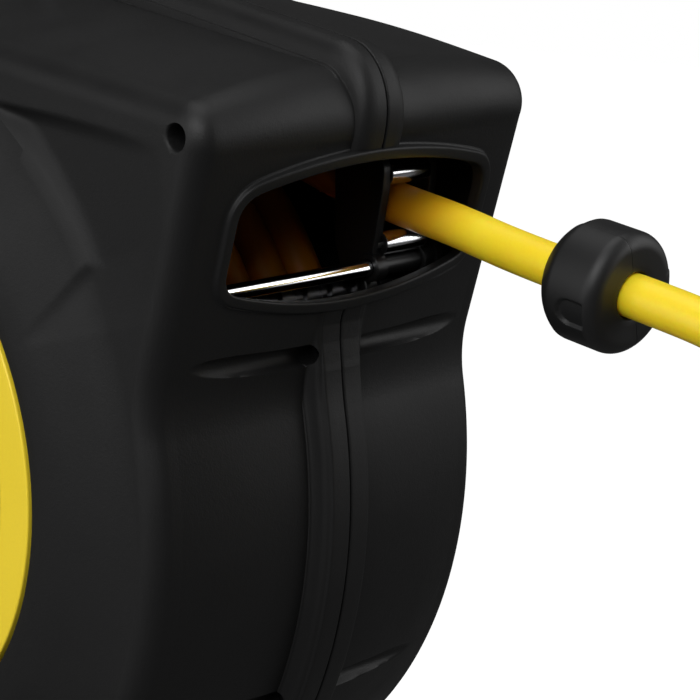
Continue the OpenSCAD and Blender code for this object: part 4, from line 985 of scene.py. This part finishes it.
def stopper_profile():
    """Radius and distance along the hose, from the bore's back over the outside to its front."""
    h = STOP_LEN / 2
    out = [(HOSE_R + r, -h + x) for r, x in ((0.05, 4), (0.05, 0.5), (0.2, 0.1), (0.6, 0))]
    # the back slopes, between a rounded end and a faint corner
    for a in np.linspace(-90, -52, 8):
        c, s = unit(a)
        out.append((STOP_FLAT_R + STOP_BACK_R * c, -h + STOP_BACK_R * (1 + s)))
    for t in np.linspace(0, 1, 9)[1:]:
        bulge = 2.2 * t * (1 - t)
        out.append((mix(14.97, STOP_R - 0.12, t) + bulge,
                    mix(0.95, STOP_BACK - 0.3, t) - h - 0.7 * bulge))
    out += [(STOP_R, mix(-h + STOP_BACK, h - STOP_FRONT, t)) for t in np.linspace(0, 1, 22)[1:-1]]
    for a in np.linspace(0, 90, 16):
        c, s = unit(a)
        out.append((STOP_R - STOP_FRONT * (1 - c), h - STOP_FRONT * (1 - s)))
    out += [(12.8, h), (11.0, h)]
    front = ((1.6, 0.05), (0.9, 0.25), (0.5, 0.8), (0.3, 2.0), (0.05, 4.0))
    return np.array(out + [(HOSE_R + r, h - x) for r, x in front])


def stopper_half(right):
    """Half of the stopper: the left one has a recess, and the right one gives at the split."""
    prof = stopper_profile()
    # from the split at the top, round the half, to the split below
    a = np.radians([89.75, *np.linspace(89, -89, 181), -89.75])
    rr, aa = np.meshgrid(prof[:, 0], a, indexing="ij")
    hh = np.repeat(prof[:, 1:], len(a), 1)
    side, up = rr * np.cos(aa), rr * np.sin(aa)
    outer = np.clip((rr - 12) / 4, 0, 1)
    # the split's soft edge
    shrink = 0.35 * (np.clip(1 - side / 0.6, 0, 1) * outer) ** 2
    if right:
        shrink = shrink + 0.45 * outer * (up > 0) * np.clip((side + 0.1) / 0.4, 0, 1)
    else:
        # a recess open to the front rim, its back end round
        gap = RECESS_HALF - np.hypot(aa * STOP_R, np.minimum(hh - RECESS_Y, 0))
        shrink = shrink + RECESS_DEEP * ease(gap / 1.2) * ease((RECESS_END - hh) / 1.2) * outer
    k = 1 - shrink / np.maximum(rr, 1)
    side, up = (1 if right else -1) * (side * k + 0.04), up * k
    # turned about the hose, and laid along it
    c, s = unit(STOP_TURN)
    side, up = side * c - up * s, side * s + up * c
    pts = np.stack([hh * drop_cos + up * drop_sin, side, up * drop_cos - hh * drop_sin], -1)
    n, m = hh.shape
    faces = [(i * m + j, i * m + j + 1, (i + 1) * m + j + 1, (i + 1) * m + j)
             for i in range(n - 1) for j in range(m - 1)]
    faces += [tuple(range(0, n * m, m)), tuple(range(n * m - 1, 0, -m))]
    faces += [((n - 1) * m + j, (n - 1) * m + j + 1, j + 1, j) for j in range(m - 1)]
    return new_mesh("stopper", pts.reshape(-1, 3) + np.array(STOP_AT), faces)


seats = [turned((STOP_AT[0] + z * drop_sin, STOP_AT[2] + z * drop_cos),
                ((SEAT_FROM, SEAT_HOLE_R), (SEAT_TO, SEAT_HOLE_R)), GUIDE_Y) for z in SEATS]
halves = (("left", stopper_half(False)), ("right", cut(fixed(stopper_half(True)), seats)))
STOPPERS = [
    dress("stopper_half_" + name, mesh, "stopper", "guide", ("stopper_" + name,), sharp=24)
    for name, mesh in halves
]

# ------------------------------------------------------------------ stage

WORLD, WORLD_RIGHT, FLOOR_TONE = 0.03, 0.42, 0.17
FLOOR_Z, FLOOR_HALF = -0.62, 6
CENTRE = (0.42, 0, 0.05)
# name, place, size in metres, watts
LAMPS = (
    ("left_back", (-0.9, -2.0, 0.5), 1.7, 9),
    ("left", (0.1, -2.3, 0.5), 1.8, 11),
    ("front_left", (1.45, -1.9, 1.65), 1.9, 54),
    ("right", (1.9, 1.7, 1.4), 1.8, 13),
    ("right_low", (2.2, 1.2, 0.5), 0.9, 5),
    ("top", (0.4, 0.1, 2.2), 1.6, 18),
)


def floor_material():
    """White to the camera, but for the shadow it keeps near the object, and grey to the light."""
    n = Nodes("floor")
    seen = n.add("ShaderNodeLightPath").outputs["Is Camera Ray"]
    tone = n.blend(seen, (FLOOR_TONE,) * 3, (0.8, 0.8, 0.8))
    mottled = n.blend(n.math("MULTIPLY", n.noise(3, 2), 0.06), tone, (0, 0, 0))
    paint = n.add("ShaderNodeBsdfDiffuse", {"Color": mottled})
    far = n.add("ShaderNodeVectorMath", {0: n.coords}, operation="LENGTH").outputs["Value"]
    kept = n.range(far, 0.6, 0.0, 0.8, 2.4)
    free = n.math("SUBTRACT", 1.0, kept)
    strength = n.math("DIVIDE", n.math("SUBTRACT", 1.03, n.math("MULTIPLY", kept, 0.22)), free)
    glow = n.add("ShaderNodeEmission", {"Color": (1, 1, 1), "Strength": strength})
    share = n.math("MULTIPLY", seen, free)
    n.show(n.add("ShaderNodeMixShader", {0: share, 1: paint.outputs[0], 2: glow.outputs[0]}))
    return n.material


def light_world():
    """White to the camera and through glass; to light, dark with a pale wall to the right."""
    world = bpy.data.worlds.new("studio")
    bpy.context.scene.world = world
    world.use_nodes = True
    n = Nodes("studio", world.node_tree)
    ray = n.add("ShaderNodeLightPath").outputs
    seen = n.math("MAXIMUM", ray["Is Camera Ray"], ray["Is Transmission Ray"])
    way = n.add("ShaderNodeSeparateXYZ", {0: n.coords.node.outputs["Generated"]}).outputs
    wall = n.range(way["Y"], 0, 1, 0.35, 0.6)
    for output, lo, hi in (("Z", 0.66, 0.5), ("X", -0.1, 0.2)):
        wall = n.math("MULTIPLY", wall, n.range(way[output], 0, 1, lo, hi))
    # twice as strong to the chrome
    twice = n.math("ADD", ray["Is Glossy Ray"], 1.0)
    level = n.math("MULTIPLY", n.range(wall, WORLD, WORLD_RIGHT), twice)
    light, white = (n.add("ShaderNodeBackground", {"Color": (1, 1, 1), "Strength": strength})
                    for strength in (level, 1.0))
    both = n.add("ShaderNodeMixShader", {0: seen, 1: light.outputs[0], 2: white.outputs[0]})
    n.show(both, "ShaderNodeOutputWorld")


def lamp(name, at, size, watts):
    data = bpy.data.lights.new(name, "AREA")
    data.shape = "SQUARE"
    data.size, data.energy = size, watts
    o = placed(name, data)
    o.location = at
    o.rotation_mode = "QUATERNION"
    o.rotation_quaternion = (Vector(CENTRE) - Vector(at)).to_track_quat("-Z", "Y")


corners = ((-1, -1), (1, -1), (1, 1), (-1, 1))
floor = placed("floor", bpy.data.meshes.new("floor"))
floor.data.from_pydata([(x * FLOOR_HALF, y * FLOOR_HALF, FLOOR_Z) for x, y in corners], [],
                       [(0, 1, 2, 3)])
floor.data.materials.append(floor_material())
light_world()
for values in LAMPS:
    lamp(*values)
